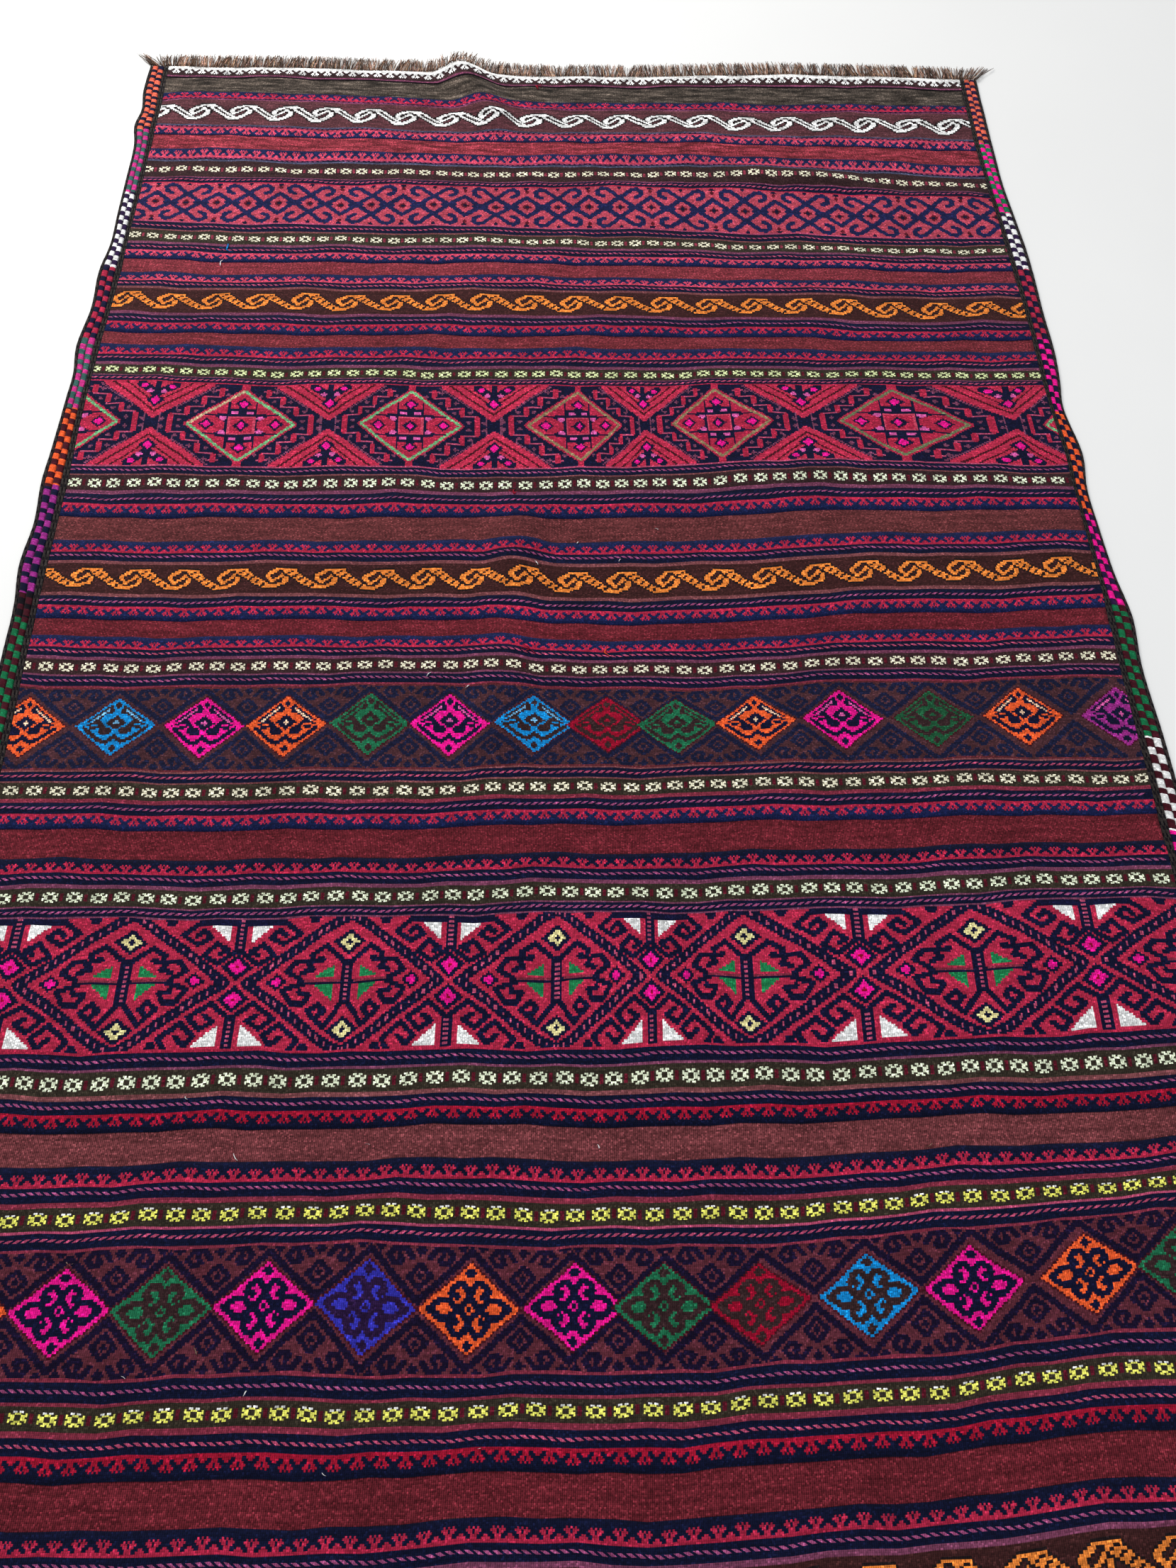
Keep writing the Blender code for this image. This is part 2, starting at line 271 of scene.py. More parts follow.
Band = namedtuple("Band", "start kind ground figure", defaults=(None,))
BAND_TABLE = """
10 end_far dark_brown white
45 plain olive_brown
92 border_down crimson mauve
118 scroll scroll_ground white
195 border_up rose grey_blue
228 plain madder
268 border_down rose grey_blue
306 flowers dark_brown cream
350 twine_up crimson mauve
368 lattice lattice_rose navy
478 twine_down pink mauve_brown
505 flowers olive cream
536 border_up rose mauve
582 plain red_brown
614 border_down rose mauve_brown
654 wave wave_ground wave_orange
712 border_up crimson mauve
763 plain rust_brown
793 border_down crimson mauve
843 flowers olive pale_green
867 twine_up crimson mauve
882 main crimson navy
1060 twine_down pink mauve_brown
1081 flowers dark_brown green_white
1111 border_up crimson mauve
1166 plain light_brown
1212 border_down crimson mauve_brown
1257 wave wave_ground wave_orange
1312 border_up crimson mauve_brown
1360 plain maroon
1390 border_down crimson mauve
1431 flowers dark_brown cream
1456 twine_up mauve_crimson mauve
1478 small_diamonds wine navy
1614 twine_down mauve_brown mauve_brown
1634 flowers olive cream
1659 border_up crimson mauve_crimson
1705 plain maroon
1748 border_down crimson mauve
1791 flowers olive green_white
1816 twine_up mauve mauve
1832 major major_crimson navy
2000 twine_down crimson mauve
2023 flowers olive green_white
2050 border_up bright_crimson mauve_brown
2092 plain reddish_brown
2130 border_down crimson mauve_crimson
2177 flowers olive yellow
2203 twine_up mauve_crimson pink
2227 diamonds oxblood navy
2358 twine_down mauve_crimson mauve_crimson
2385 flowers olive yellow
2409 border_up bright_crimson mauve_crimson
2457 plain maroon
2500 border_down crimson mauve
2546 wave wave_ground wave_orange
2601 border_up crimson mauve
2649 plain rust_brown
2690 border_down crimson mauve_brown
2740 flowers olive green_white
2768 twine_up pink mauve
2786 main crimson navy
2960 twine_down pink mauve_brown
2977 flowers dark_brown pale_green
3000 border_up crimson mauve
3050 plain light_brown
3080 border_down crimson mauve_brown
3129 wave wave_ground wave_orange
3187 border_up rose mauve
3224 plain red_brown
3256 border_down rose mauve
3303 flowers olive cream
3333 twine_up pink mauve_brown
3358 lattice lattice_rose navy
3474 twine_down crimson mauve
3488 flowers dark_brown cream
3532 border_up rose grey_blue
3570 plain madder
3610 border_down rose grey_blue
3643 scroll scroll_ground white
3720 border_up crimson mauve
3746 plain olive_brown
3793 end_near dark_brown white
"""
BANDS = [Band(int(start), *words) for start, *words in map(str.split, BAND_TABLE.strip().splitlines())]
BAND_ENDS = [band.start for band in BANDS[1:]] + [FIELD_END]

# ---------------------------------------------------------------- charts, one letter a cell

COLUMNS = 690
STITCH = FIELD_WIDTH / COLUMNS
BUTT = 16
FINE_BUTT = 4

FLOWER = [
    "..##.##..",
    "#..###..#",
    "###...###",
    ".##...##.",
    "###...###",
    "#..###..#",
    "..##.##..",
]
TREFOIL = [
    "...#.#.#...",
    "..###.###..",
    "...##.##...",
    "#...###...#",
    "##..###..##",
]
# Runs of columns of each row of a running scroll, from the left end of its hook
WAVE_PERIOD = 35
WAVE_ROWS = [
    [(7, 21)],
    [(5, 8), (13, 21)],
    [(3, 7), (14, 23)],
    [(1, 5), (11, 12), (16, 25)],
    [(0, 3), (10, 13), (18, 26)],
    [(0, 3), (9, 11), (14, 16), (20, 28)],
    [(1, 4), (7, 9), (13, 16), (22, 30)],
    [(3, 7), (13, 16), (24, 32)],
    [(4, 6), (12, 15), (26, 34)],
    [(9, 14), (28, 37)],
    [(31, 45)],
    [(33, 43)],
]
SCROLL_ROWS = [
    [(9, 21)],
    [(5, 10), (15, 23)],
    [(3, 7), (11, 13), (18, 20), (24, 26)],
    [(1, 4), (10, 14), (19, 21), (25, 27)],
    [(0, 3), (8, 10), (14, 17), (21, 23), (27, 29)],
    [(0, 3), (6, 8), (14, 17), (23, 25), (29, 31)],
    [(1, 6), (13, 17), (25, 27), (31, 33)],
    [(2, 4), (12, 16), (27, 29), (33, 35)],
    [(10, 14), (29, 31), (35, 37)],
    [(7, 12), (31, 34), (37, 39)],
    [(32, 45)],
    [(34, 42)],
]
Diamond = namedtuple("Diamond", "across dye")
SMALL_DIAMONDS = [Diamond(*row) for row in (
    (81, "orange"), (209, "sky"), (334, "magenta"), (450, "orange"), (568, "green"), (681, "magenta"),
    (801, "sky"), (904, "dark_crimson"), (1003, "green"), (1115, "orange"), (1238, "magenta"),
    (1367, "bottle_green"), (1495, "orange"), (1635, "violet"),
)]
DIAMONDS = [Diamond(*row) for row in (
    (64, "green"), (178, "orange"), (292, "magenta"), (406, "green"), (520, "magenta"), (634, "royal"),
    (750, "orange"), (867, "magenta"), (968, "green"), (1076, "dark_crimson"), (1199, "sky"),
    (1318, "magenta"), (1451, "orange"), (1563, "green"),
)]

# ---------------------------------------------------------------- painting the bands as rows of coloured runs

UNIT = 20
PLAIN_ROW = 7
TALLEST_ROW = 9
CHART_ROW = 2.9
RAISED = 0.05
Row = namedtuple("Row", "start end slant height cuts dyes")


def bends(t):
    """The columns at which a row is cut to bend with the cloth, closer together over its ripples."""
    fine = np.arange(0, COLUMNS, FINE_BUTT)
    across, along = woven(fine * STITCH, np.full(len(fine), t))
    raised = lift(across, along) > RAISED
    raised[1:] |= raised[:-1].copy()
    raised[:-1] |= raised[1:].copy()
    return set(fine[raised].tolist()) | set(range(0, COLUMNS, BUTT))


def chart_row(start, end, dyes):
    """One row of a chart as runs of one dye each, none too long to bend with the cloth."""
    changes = set((np.flatnonzero(np.diff(dyes)) + 1).tolist())
    cuts = sorted(changes | bends(start) | {COLUMNS})
    places = [round(cut * STITCH * UNIT) for cut in cuts]
    return Row(start, end, 0, 0.0, places, [int(dyes[cut]) for cut in cuts[:-1]])


def chart_rows(start, end, chart):
    """The rows of a chart between two places, with equal ones joined."""
    edges = np.linspace(start, end, len(chart) + 1)
    rows = []
    first = 0
    for i in range(1, len(chart) + 1):
        tall = i < len(chart) and edges[i + 1] - edges[first] > TALLEST_ROW
        if i == len(chart) or tall or (chart[i] != chart[first]).any():
            rows.append(chart_row(edges[first], edges[i], chart[first]))
            first = i
    return rows


def blank(count, dye):
    return np.full((count, COLUMNS), DYE[dye])


def plain_rows(start, end, dye):
    return chart_rows(start, end, blank(max(1, round((end - start) / PLAIN_ROW)), dye))


DASH_PITCH = 9.8
DASH_RAISED = 0.6
DASH_MARGIN = 90
DASH_LEAST = 8
DASH_SHARE = 0.56
TWINE_LINE = 3.6
TWINE_SHARE = 0.34
TWINE_SLANT = 2.8


def dash_rows(start, end, dash, between, slant, phase):
    """A twined line: slanted dashes of yarn, raised along their middle."""
    middle = 0.5 * (start + end)
    lean = slant * UNIT
    rows = []
    for half, span in enumerate(((start, middle), (middle, end))):
        cuts, dyes = [0], []
        at = phase - DASH_PITCH
        while at < FIELD_WIDTH + DASH_PITCH:
            for reach, dye in ((DASH_SHARE, dash), (1 - DASH_SHARE, between)):
                at += reach * DASH_PITCH
                place = round(at * UNIT) + half * lean
                if max(cuts[-1] + DASH_LEAST, DASH_MARGIN) < place < FIELD_WIDTH * UNIT - DASH_MARGIN:
                    cuts.append(place)
                    dyes.append(DYE[dye])
        cuts.append(round(FIELD_WIDTH * UNIT))
        dyes.append(DYE[between])
        rows.append(Row(*span, lean, DASH_RAISED * (1 - half), cuts, dyes))
    return rows


def stamp(chart, motif, column, dye):
    """Paints a motif's marked cells from a left column on."""
    for i, line in enumerate(motif):
        for j, mark in enumerate(line):
            if mark == "#" and 0 <= column + j < COLUMNS:
                chart[i, column + j] = DYE[dye]


# The parts of a border from the plain band on, of twining from the flowers on, and of the rug's end from the
# fringe on, each with its share of the height. Near the ends of the rug borders are narrow
STRIPES = {
    "border": [("navy", 17), ("trefoil", 25), ("line", 8), ("twine", 37), ("mauve", 13)],
    "narrow": [("navy", 12), ("trefoil", 48), ("line", 14), ("twine", 14), ("mauve", 12)],
    "twine": [("line", 13), ("twine", 74), ("mauve", 13)],
    "end": [("white", 8), ("trefoil", 14), ("dark_brown", 6), ("mauve", 4), ("black", 3)],
}
NARROW_BORDER = 40
PALE_NAVY_UPTO = 1700
TREFOIL_STEP = len(TREFOIL[0])


def trefoil_rows(start, end, ground, figure, feet_first, rng):
    """A row of small trefoils, standing with their feet to the near side or the far one."""
    chart = blank(len(TREFOIL), ground)
    for at in range(rng.randrange(TREFOIL_STEP) - TREFOIL_STEP, COLUMNS, TREFOIL_STEP):
        stamp(chart, TREFOIL, at, figure)
    return chart_rows(start, end, chart[::-1] if feet_first else chart)


def striped(start, end, band, rng):
    """A band of lines, twining and trefoils that lie one under the other."""
    kind, way = band.kind.split("_")
    turned = way in ("up", "near")
    navy = "mid_navy" if start < PALE_NAVY_UPTO else "border_navy"
    dyes = {"navy": navy, "line": band.ground, "mauve": band.figure}
    trefoils = (navy, band.ground, turned)
    if kind == "end":
        dyes, trefoils = {}, (band.ground, band.figure, not turned)
    elif kind == "border" and end - start < NARROW_BORDER:
        kind = "narrow"
    whole = sum(share for _, share in STRIPES[kind])
    rows, at = [], start
    for part, share in STRIPES[kind][:: -1 if turned else 1]:
        upto = at + share / whole * (end - start)
        if part == "trefoil":
            rows += trefoil_rows(at, upto, *trefoils, rng)
        elif part == "twine":
            rows += twine(at, upto, rng)
        else:
            rows += plain_rows(at, upto, dyes.get(part, part))
        at = upto
    return rows


def twine(start, end, rng):
    """Navy twining with a thin chain of slanted dashes along it."""
    line = min(TWINE_LINE, TWINE_SHARE * (end - start))
    first = start + rng.uniform(0.35, 0.5) * (end - start - line)
    slant = rng.choice((-TWINE_SLANT, TWINE_SLANT))
    dash = rng.choice(("orchid", "orchid", "pink"))
    chain = dash_rows(first, first + line, dash, "navy", slant, rng.uniform(0, DASH_PITCH))
    return plain_rows(start, first, "border_navy") + chain + plain_rows(first + line, end, "border_navy")


# The share of the band beside each row of flowers, where it is wide
FLOWER_MARGINS = {306: 0.33, 505: 0.27, 3303: 0.27, 3488: 0.33}
FLOWER_MARGIN = 0.22
FLOWER_STEPS = (13, 14)
FLOWER_BAR = (10, 12)
DOT_PLACES = (1.6, 5.0)
DOT_WIDTH = 2.4
# Where the first hook of a running wave starts across, and the length of its repeat
WaveRun = namedtuple("WaveRun", "left_end period")
WAVE_RUNS = {654: WaveRun(192, 78.4), 1257: WaveRun(15, 73.5)}
OTHER_WAVES = WaveRun(209, 78.4)
SCROLLS = WaveRun(163, 81.5)


def flowers(start, end, band, rng):
    """A row of small flowers with crimson bars between them."""
    share = FLOWER_MARGINS.get(band.start, FLOWER_MARGIN)
    top, bottom = start + share * (end - start), end - share * (end - start)
    bar = "mauve_crimson" if band.start in FLOWER_MARGINS else "blood"
    chart = blank(len(FLOWER), band.ground)
    at = -rng.randrange(FLOWER_STEPS[1])
    while at < COLUMNS:
        stamp(chart, FLOWER, at, band.figure)
        if band.figure == "yellow":
            stamp(chart, FLOWER[:1], at, "ivory")
        for row in range(1, len(FLOWER) - 1):
            paint(chart, row, at + FLOWER_BAR[0], at + FLOWER_BAR[1], bar)
        at += rng.choice(FLOWER_STEPS)
    margins = [plain_rows(*span, band.ground) for span in ((start, top), (bottom, end))]
    return margins[0] + chart_rows(top, bottom, chart) + margins[1]


def wave(start, end, band, rng):
    """A running wave of hooked scrolls, outlined in dark yarn."""
    scroll = band.kind == "scroll"
    run = SCROLLS if scroll else WAVE_RUNS.get(start, OTHER_WAVES)
    lines, margin, wide = (SCROLL_ROWS, 4, 2) if scroll else (WAVE_ROWS, 3, 1)
    chart = blank(len(lines) + 2 * margin, band.ground)
    cell = run.period / WAVE_PERIOD / STITCH
    step = cell * WAVE_PERIOD
    origin = x_of(run.left_end, start) / STITCH
    first = -int(origin / step) - 2
    bases = [origin + (first + k) * WAVE_PERIOD * cell for k in range(int(COLUMNS / step) + 4)]
    for i, stretches in enumerate(lines):
        for low, high in stretches:
            for base in bases:
                paint(chart, margin + i, base + low * cell, base + (high + 1) * cell, band.figure)
    figure = chart == DYE[band.figure]
    near = figure.copy()
    near[:, wide:] |= figure[:, :-wide]
    near[:, :-wide] |= figure[:, wide:]
    near[1:] |= figure[:-1]
    near[:-1] |= figure[1:]
    chart[near & ~figure] = DYE["outline_brown"]
    # The slanting part of a coloured wave is speckled with two rows of dots
    for i in () if scroll else range(1, 11):
        for base in bases:
            left = base + (lines[i][-1 if i < 10 else 0][0] + DOT_PLACES[i % 2]) * cell
            paint(chart, margin + i, left, left + DOT_WIDTH * cell, "outline_brown")
    return chart_rows(start, end, chart)


def paint(chart, row, low, high, dye):
    """One run of a chart's row, between two places in columns."""
    low, high = max(round(low), 0), round(high)
    if high > low:
        chart[row, low:high] = DYE[dye]


# A point or area of a stroke is (x, y) from the middle of its repeat, folded onto the positive quarter
Stroke = namedtuple("Stroke", "dye width points")
Lozenge = namedtuple("Lozenge", "dye x y half_wide half_high")
Area = namedtuple("Area", "dye points")


def near_line(x, y, points, width):
    """Which points lie within half a width of a line through some points."""
    found = np.zeros(np.broadcast(x, y).shape, bool)
    for (x0, y0), (x1, y1) in zip(points, points[1:]):
        run = (x1 - x0, y1 - y0)
        length = max(run[0] ** 2 + run[1] ** 2, 1e-9)
        w = np.clip(((x - x0) * run[0] + (y - y0) * run[1]) / length, 0, 1)
        found |= np.hypot(x - x0 - w * run[0], y - y0 - w * run[1]) <= 0.5 * width
    return found


def inside(x, y, points):
    """Which points lie inside a polygon."""
    found = np.zeros(np.broadcast(x, y).shape, bool)
    for (x0, y0), (x1, y1) in zip(points, points[1:] + points[:1]):
        if y0 == y1:
            continue
        crossing = (y0 > y) != (y1 > y)
        found ^= crossing & (x < x0 + (y - y0) * (x1 - x0) / (y1 - y0))
    return found


def draw(chart, x, y, marks, dyes=None):
    """Paints strokes, lozenges and areas in turn. `dyes` says what stands for a name that is no dye."""
    for mark in marks:
        if isinstance(mark, Stroke):
            chosen = near_line(x, y, mark.points, mark.width)
        elif isinstance(mark, Lozenge):
            chosen = np.abs(x - mark.x) / mark.half_wide + np.abs(y - mark.y) / mark.half_high <= 1
        else:
            chosen = inside(x, y, mark.points)
        chart[chosen] = DYE[(dyes or {}).get(mark.dye, mark.dye)]


def mirrored(marks):
    """Marks of the far half, each with its like in the near half."""
    both = []
    for mark in marks:
        both.append(mark)
        if isinstance(mark, Lozenge):
            both.append(mark._replace(y=-mark.y))
        else:
            both.append(mark._replace(points=[(x, -y) for x, y in mark.points]))
    return both


def chart_places(start, end):
    """An empty chart's row count, its places along from the middle row, far half positive, and across."""
    tall = end - start
    count = round(tall / CHART_ROW)
    y = 0.5 * tall - (np.arange(count) + 0.5) / count * tall
    return count, y[:, None], (np.arange(COLUMNS) + 0.5) * STITCH


def folded(places, repeats, half):
    """The distance of each place from the nearest middle, with the way to the next post scaled to `half`."""
    marks = np.interp(places, repeats, np.arange(len(repeats)))
    away = np.abs(marks - 2 * np.round(marks / 2))
    return away * half


# The frame in which a band's marks are drawn: half a repeat across, and the band's height
Frame = namedtuple("Frame", "half high")
LATTICE_FRAME = Frame(57.0, 106)
MAIN_FRAME = Frame(140.0, 176)
MAJOR_FRAME = Frame(135.0, 168)

LATTICE_START = 122
LATTICE_STEP = 57.6
LATTICE_REPEATS = range(-4, 30)
LATTICE = [
    Stroke("lattice_navy", 9.6, [(-3, 27), (28, 0), (60, 28)]),
    Stroke("lattice_navy", 9, [(0, 24), (13, 36), (22, 45), (32, 48), (41, 41), (39, 31), (30, 26)]),
    Stroke("lattice_navy", 10, [(18, 0), (38, 0)]),
    Lozenge("blood", 0, 0, 9, 8),
    Lozenge("blood", 57, 0, 9, 8),
    Lozenge("navy", 0, 0, 5, 4.5),
    Lozenge("navy", 57, 0, 5, 4.5),
    Lozenge("navy", 0, 50, 5, 5),
    Lozenge("navy", 57, 50, 6, 6),
    Lozenge("blood", 57, 42, 5, 5),
]


def lattice(start, end, band, rng):
    """A trellis whose lines curl into hooks at both edges."""
    count, y, places = chart_places(start, end)
    chart = blank(count, band.ground)
    origin = x_of(LATTICE_START, 0.5 * (start + end))
    repeats = [origin + LATTICE_STEP * k for k in LATTICE_REPEATS]
    x = folded(places, repeats, LATTICE_FRAME.half)
    draw(chart, x[None, :], np.abs(y) * LATTICE_FRAME.high / (end - start), LATTICE)
    return chart_rows(start, end, chart)


MAIN_MARKS = mirrored(
    [
        Area("main_red", [(141, 8), (50, 84), (50, 100), (141, 100)]),
        Stroke("dark_red", 3.6, [(143, 22), (62, 90)]),
        Stroke("dark_red", 3.0, [(143, 38), (74, 98)]),
        Stroke("pink", 3.2, [(38, 61), (62, 61), (62, 38), (86, 38), (86, 19), (112, 19)]),
        Stroke("pink", 3, [(30, 76), (46, 76)]),
        Stroke("crimson", 9, [(38, 76), (38, 65)]),
        Stroke("crimson", 9, [(63, 57), (63, 45)]),
        Stroke("crimson", 9, [(87, 34), (87, 24)]),
        Stroke("crimson", 9, [(112, 16), (112, 0)]),
        Stroke("mauve", 2.6, [(46, 84), (104, 36), (104, 30)]),
        Stroke("mauve", 2.6, [(128, 19), (128, 2)]),
        Area("crimson", [(-1, 76), (6, 76), (6, 90), (-1, 90)]),
        *(Lozenge("mauve", x, y, 4.5, 4) for x, y in ((26, 64), (50, 50), (74, 28), (98, 8))),
        *(Lozenge("mauve", x, y, 4.5, 4) for x, y in ((51, 72), (76, 49), (100, 28), (124, 8))),
        Stroke("crimson", 11.5, [(0, 75), (84, 0)]),
        Stroke("outline_green", 4.8, [(0, 75), (84, 0)]),
        Area("crimson", [(0, 69), (77, -1), (-1, -1)]),
        Area(
            "navy",
            [(-1, -1), (-1, 40), (9, 37), (22, 37), (22, 24), (38, 24), (44, 19), (26, 7), (26, -1)],
        ),
        Area("crimson", [(-1, -1), (21, -1), (21, 18), (-1, 18)]),
        Stroke("rose", 3.5, [(-1, 17), (20, 17), (20, -1)]),
        Lozenge("navy", 0, 0, 13.5, 13),
        Lozenge("magenta", 0, 0, 5.5, 8),
        Stroke("navy", 2.6, [(22, 50), (22, 20), (58, 20)]),
        Lozenge("navy", 55, 0, 13, 13),
        Lozenge("magenta", 55, 0, 7.5, 8.5),
        Lozenge("navy", 0, 47, 14, 12),
        Lozenge("magenta", 0, 47, 8, 8),
        Stroke("hot_pink", 6, [(9, 27), (15, 27)]),
        Stroke("hot_pink", 7, [(27, 15), (32, 15)]),
        Stroke("navy", 15, [(141, 60), (112, 82)]),
        Stroke("navy", 12, [(141, 58), (141, 90)]),
        Lozenge("navy", 141, 47, 16, 15),
        Lozenge("magenta", 141, 47, 9, 10),
        Stroke("hot_pink", 6.5, [(127, 66), (131, 66)]),
        Stroke("magenta", 6.5, [(115, 78), (120, 78)]),
    ]
)
# Where the middles of the diamonds and the posts between them lie across, and the dyes of their outlines
MAIN_REPEATS = (13, 156, 304, 446, 581, 718, 858, 965, 1086, 1227, 1381, 1572, 1700)
OUTLINE_DYES = ["outline_green"] * 3 + ["fawn_green"] * 2 + ["faded_green", "outline_green"]


def main_band(start, end, band, rng):
    """Stepped diamonds between crossing beaded bands."""
    count, y, places = chart_places(start, end)
    chart = blank(count, band.figure)
    tall = end - start
    repeats = [x_of(place, start + 0.5 * tall) for place in MAIN_REPEATS]
    draw(chart, folded(places, repeats, MAIN_FRAME.half)[None, :], y * MAIN_FRAME.high / tall, MAIN_MARKS)
    away = places[None, :] - np.array(repeats[::2])[:, None]
    nearest = np.abs(away).argmin(axis=0)
    dyes = np.array([DYE[name] for name in OUTLINE_DYES])[nearest][None, :] + np.zeros_like(chart)
    dyes[(nearest[None, :] == 1) & (away[1][None, :] < 0) & (y > 0)] = DYE["beige"]
    outline = chart == DYE["outline_green"]
    chart[outline] = dyes[outline]
    return chart_rows(start, end, chart)


BEADED_LINE = [(0, 86), (22, 74), (52, 52), (100, 16), (122, 0)]
BEAD_WIDTH = 4.4
BEAD_LENGTH = 3.0
BEAD_PITCH = 9.2
STEM_HALF_WIDTH = 2.6
STEM_PITCH = 5.8
POST_REACH = 24
TREE_FROM = 45


def eye(y):
    """A straw lozenge with navy specks."""
    return [
        Lozenge("navy", 0, y, 21, 17),
        Lozenge("straw", 0, y, 13, 11),
        Lozenge("navy", 0, y, 4.5, 4.5),
        Lozenge("navy", 7.5, y + 6.5, 3.5, 3.5),
        Lozenge("navy", 7.5, y - 6.5, 3.5, 3.5),
    ]


MAJOR_MARKS = mirrored(
    [
        Stroke("navy", 13, BEADED_LINE),
        Area("navy", [(-1, -1), (7.5, -1), (7.5, 28), (-1, 28)]),
        Lozenge("navy", 85, 1, 12, 10),
        Lozenge("magenta", 85, 1, 6, 5),
        Area("navy", [(128, 42), (136, 42), (136, 90), (128, 90)]),
        Lozenge("navy", 135, 21, 20, 18),
        Lozenge("magenta", 135, 21, 11.5, 11),
        Lozenge("dark_crimson", 135, 21, 3, 3),
    ]
) + [
    Stroke("navy", 5.5, [(7, 1), (58, 1)]),
    Stroke("mauve_crimson", 2.4, [(9, 1), (54, 1)]),
    Stroke("navy", 7, [(5, 26), (28, 45), (45, 34), (42, 26), (31, 28)]),
    Stroke("navy", 7, [(56, 3), (74, 13), (64, 25), (50, 26), (42, 16), (54, 12)]),
    Area("leaf", [(16, 7), (38, 7), (16, 21)]),
    Area("leaf", [(16, -4), (38, -4), (16, -23)]),
    *eye(51),
    Area("ivory", [(122, 79), (92, 79), (122, 53)]),
    Stroke("navy", 7, [(128, 80), (82, 80), (62, 63), (82, 50), (98, 60), (88, 69), (80, 62)]),
    Stroke("navy", 7, [(132, 42), (110, 25), (92, 35), (106, 51), (121, 43), (112, 38)]),
    Area("navy", [(36, 88), (42, 74), (50, 74), (56, 88)]),
    Stroke("navy", 7, [(3, -26), (24, -54), (44, -36), (32, -27), (24, -35), (31, -41)]),
    Stroke("navy", 7, [(52, -2), (76, -11), (66, -27), (51, -28), (44, -16), (57, -13)]),
    *eye(-60),
    Area("ivory", [(121, -55), (121, -82), (90, -82)]),
    Stroke("navy", 7, [(132, -44), (110, -27), (84, -46), (100, -60), (115, -50), (104, -43)]),
    Stroke("navy", 7, [(128, -88), (62, -86), (52, -72), (76, -53), (94, -68), (84, -79), (73, -69)]),
    Area("navy", [(34, -88), (42, -74), (48, -74), (54, -88)]),
]


# Where the middles of the large diamonds and of the trees between them lie across
MAJOR_REPEATS = (-10, 143, 293, 433, 574, 703, 841, 960, 1081, 1229, 1379, 1527, 1680)


def major_band(start, end, band, rng):
    """Large diamonds outlined in beaded lines, with hooked trees between them."""
    count, y, places = chart_places(start, end)
    chart = blank(count, band.ground)
    tall = end - start
    repeats = [x_of(place, start + 0.5 * tall) for place in MAJOR_REPEATS]
    x = folded(places, repeats, MAJOR_FRAME.half)[None, :]
    y = y * MAJOR_FRAME.high / tall
    draw(chart, x, y, MAJOR_MARKS)
    beads = near_line(x, np.abs(y), BEADED_LINE, BEAD_WIDTH) & (np.mod(x, BEAD_PITCH) < BEAD_LENGTH)
    post = (x < STEM_HALF_WIDTH) & (np.abs(y) < POST_REACH)
    tree = (x > MAJOR_FRAME.half - STEM_HALF_WIDTH) & (np.abs(y) > TREE_FROM)
    chart[beads | ((post | tree) & (np.mod(y, STEM_PITCH) < 0.5 * STEM_PITCH))] = DYE["pink"]
    return chart_rows(start, end, chart)


# The bright diamonds: "figure" stands for their own dye, "inner" for the inner one's, "light" for its glints
SMALL_DIAMOND = [
    Lozenge("dark_red", 0, 0, 59, 51),
    Lozenge("figure", 0, 0, 56.5, 48.5),
    Lozenge("inner", 0, 36, 5, 6),
    Stroke("inner", 3.4, [(9, 35), (40, 8)]),
    Stroke("inner", 8.5, [(8, 28), (9.5, 25)]),
    Stroke("inner", 4.5, [(12, 26), (24, 15)]),
    Lozenge("inner", 0, 6, 15, 12.5),
    Lozenge("light", 0, 6, 4.5, 4),
    Stroke("light", 2.6, [(12, 28), (34, 9)]),
    Area("inner", [(46, 0), (28, 11), (19, 3), (30, -5)]),
    Stroke("figure", 2.6, [(43, -0.5), (26, 3.5)]),
    Stroke("inner", 6.5, [(27, 10), (15, -3)]),
    Stroke("inner", 12.5, [(11, -8), (17, -6)]),
    Stroke("inner", 6.5, [(42, -4), (21, -22), (11, -26), (0, -17)]),
    Lozenge("inner", 0, -36, 6.5, 6.5),
]
LARGE_DIAMOND = [Lozenge("dark_red", 0, 0, 60, 49.5), Lozenge("figure", 0, 0, 57, 47)] + mirrored(
    [
        Lozenge("inner", 0, 37, 7, 6.5),
        Stroke("inner", 7.5, [(0, 11), (3, 21), (9, 27), (17, 24), (21, 17), (14, 13)]),
        Stroke("inner", 7.5, [(0, 12), (12, 0)]),
        Stroke("inner", 7.5, [(13, 0), (22, 9), (33, 9), (45, 0)]),
        Lozenge("inner", 0, 0, 4, 3.5),
    ]
)
# Faint figures between two diamonds, from the middle of the gap
GAP_MARKS = mirrored(
    [
        Stroke("curl", 8, [(-1, 8), (60, 62)]),
        Stroke("curl", 6, [(0, 46), (13, 34), (0, 22)]),
        Lozenge("curl", 0, 34, 5, 5),
        Stroke("curl", 6.5, [(10, 53), (17, 62), (30, 63), (37, 55), (30, 47), (21, 50), (25, 56)]),
        Lozenge("curl", 0, 61, 7, 7),
        Lozenge("curl", 47, 64, 6, 6),
        Stroke("madder_shade", 3, [(-1, 68), (60, 68)]),
    ]
)
INNER_DYES = {"magenta": "navy", "orange": "navy", "violet": "navy", "royal": "purple_navy"}
LIGHT_DYES = {"magenta": "hot_pink", "orange": "peach", "violet": "hot_pink", "sky": "pale_blue"}
DIAMOND_REACH = 64


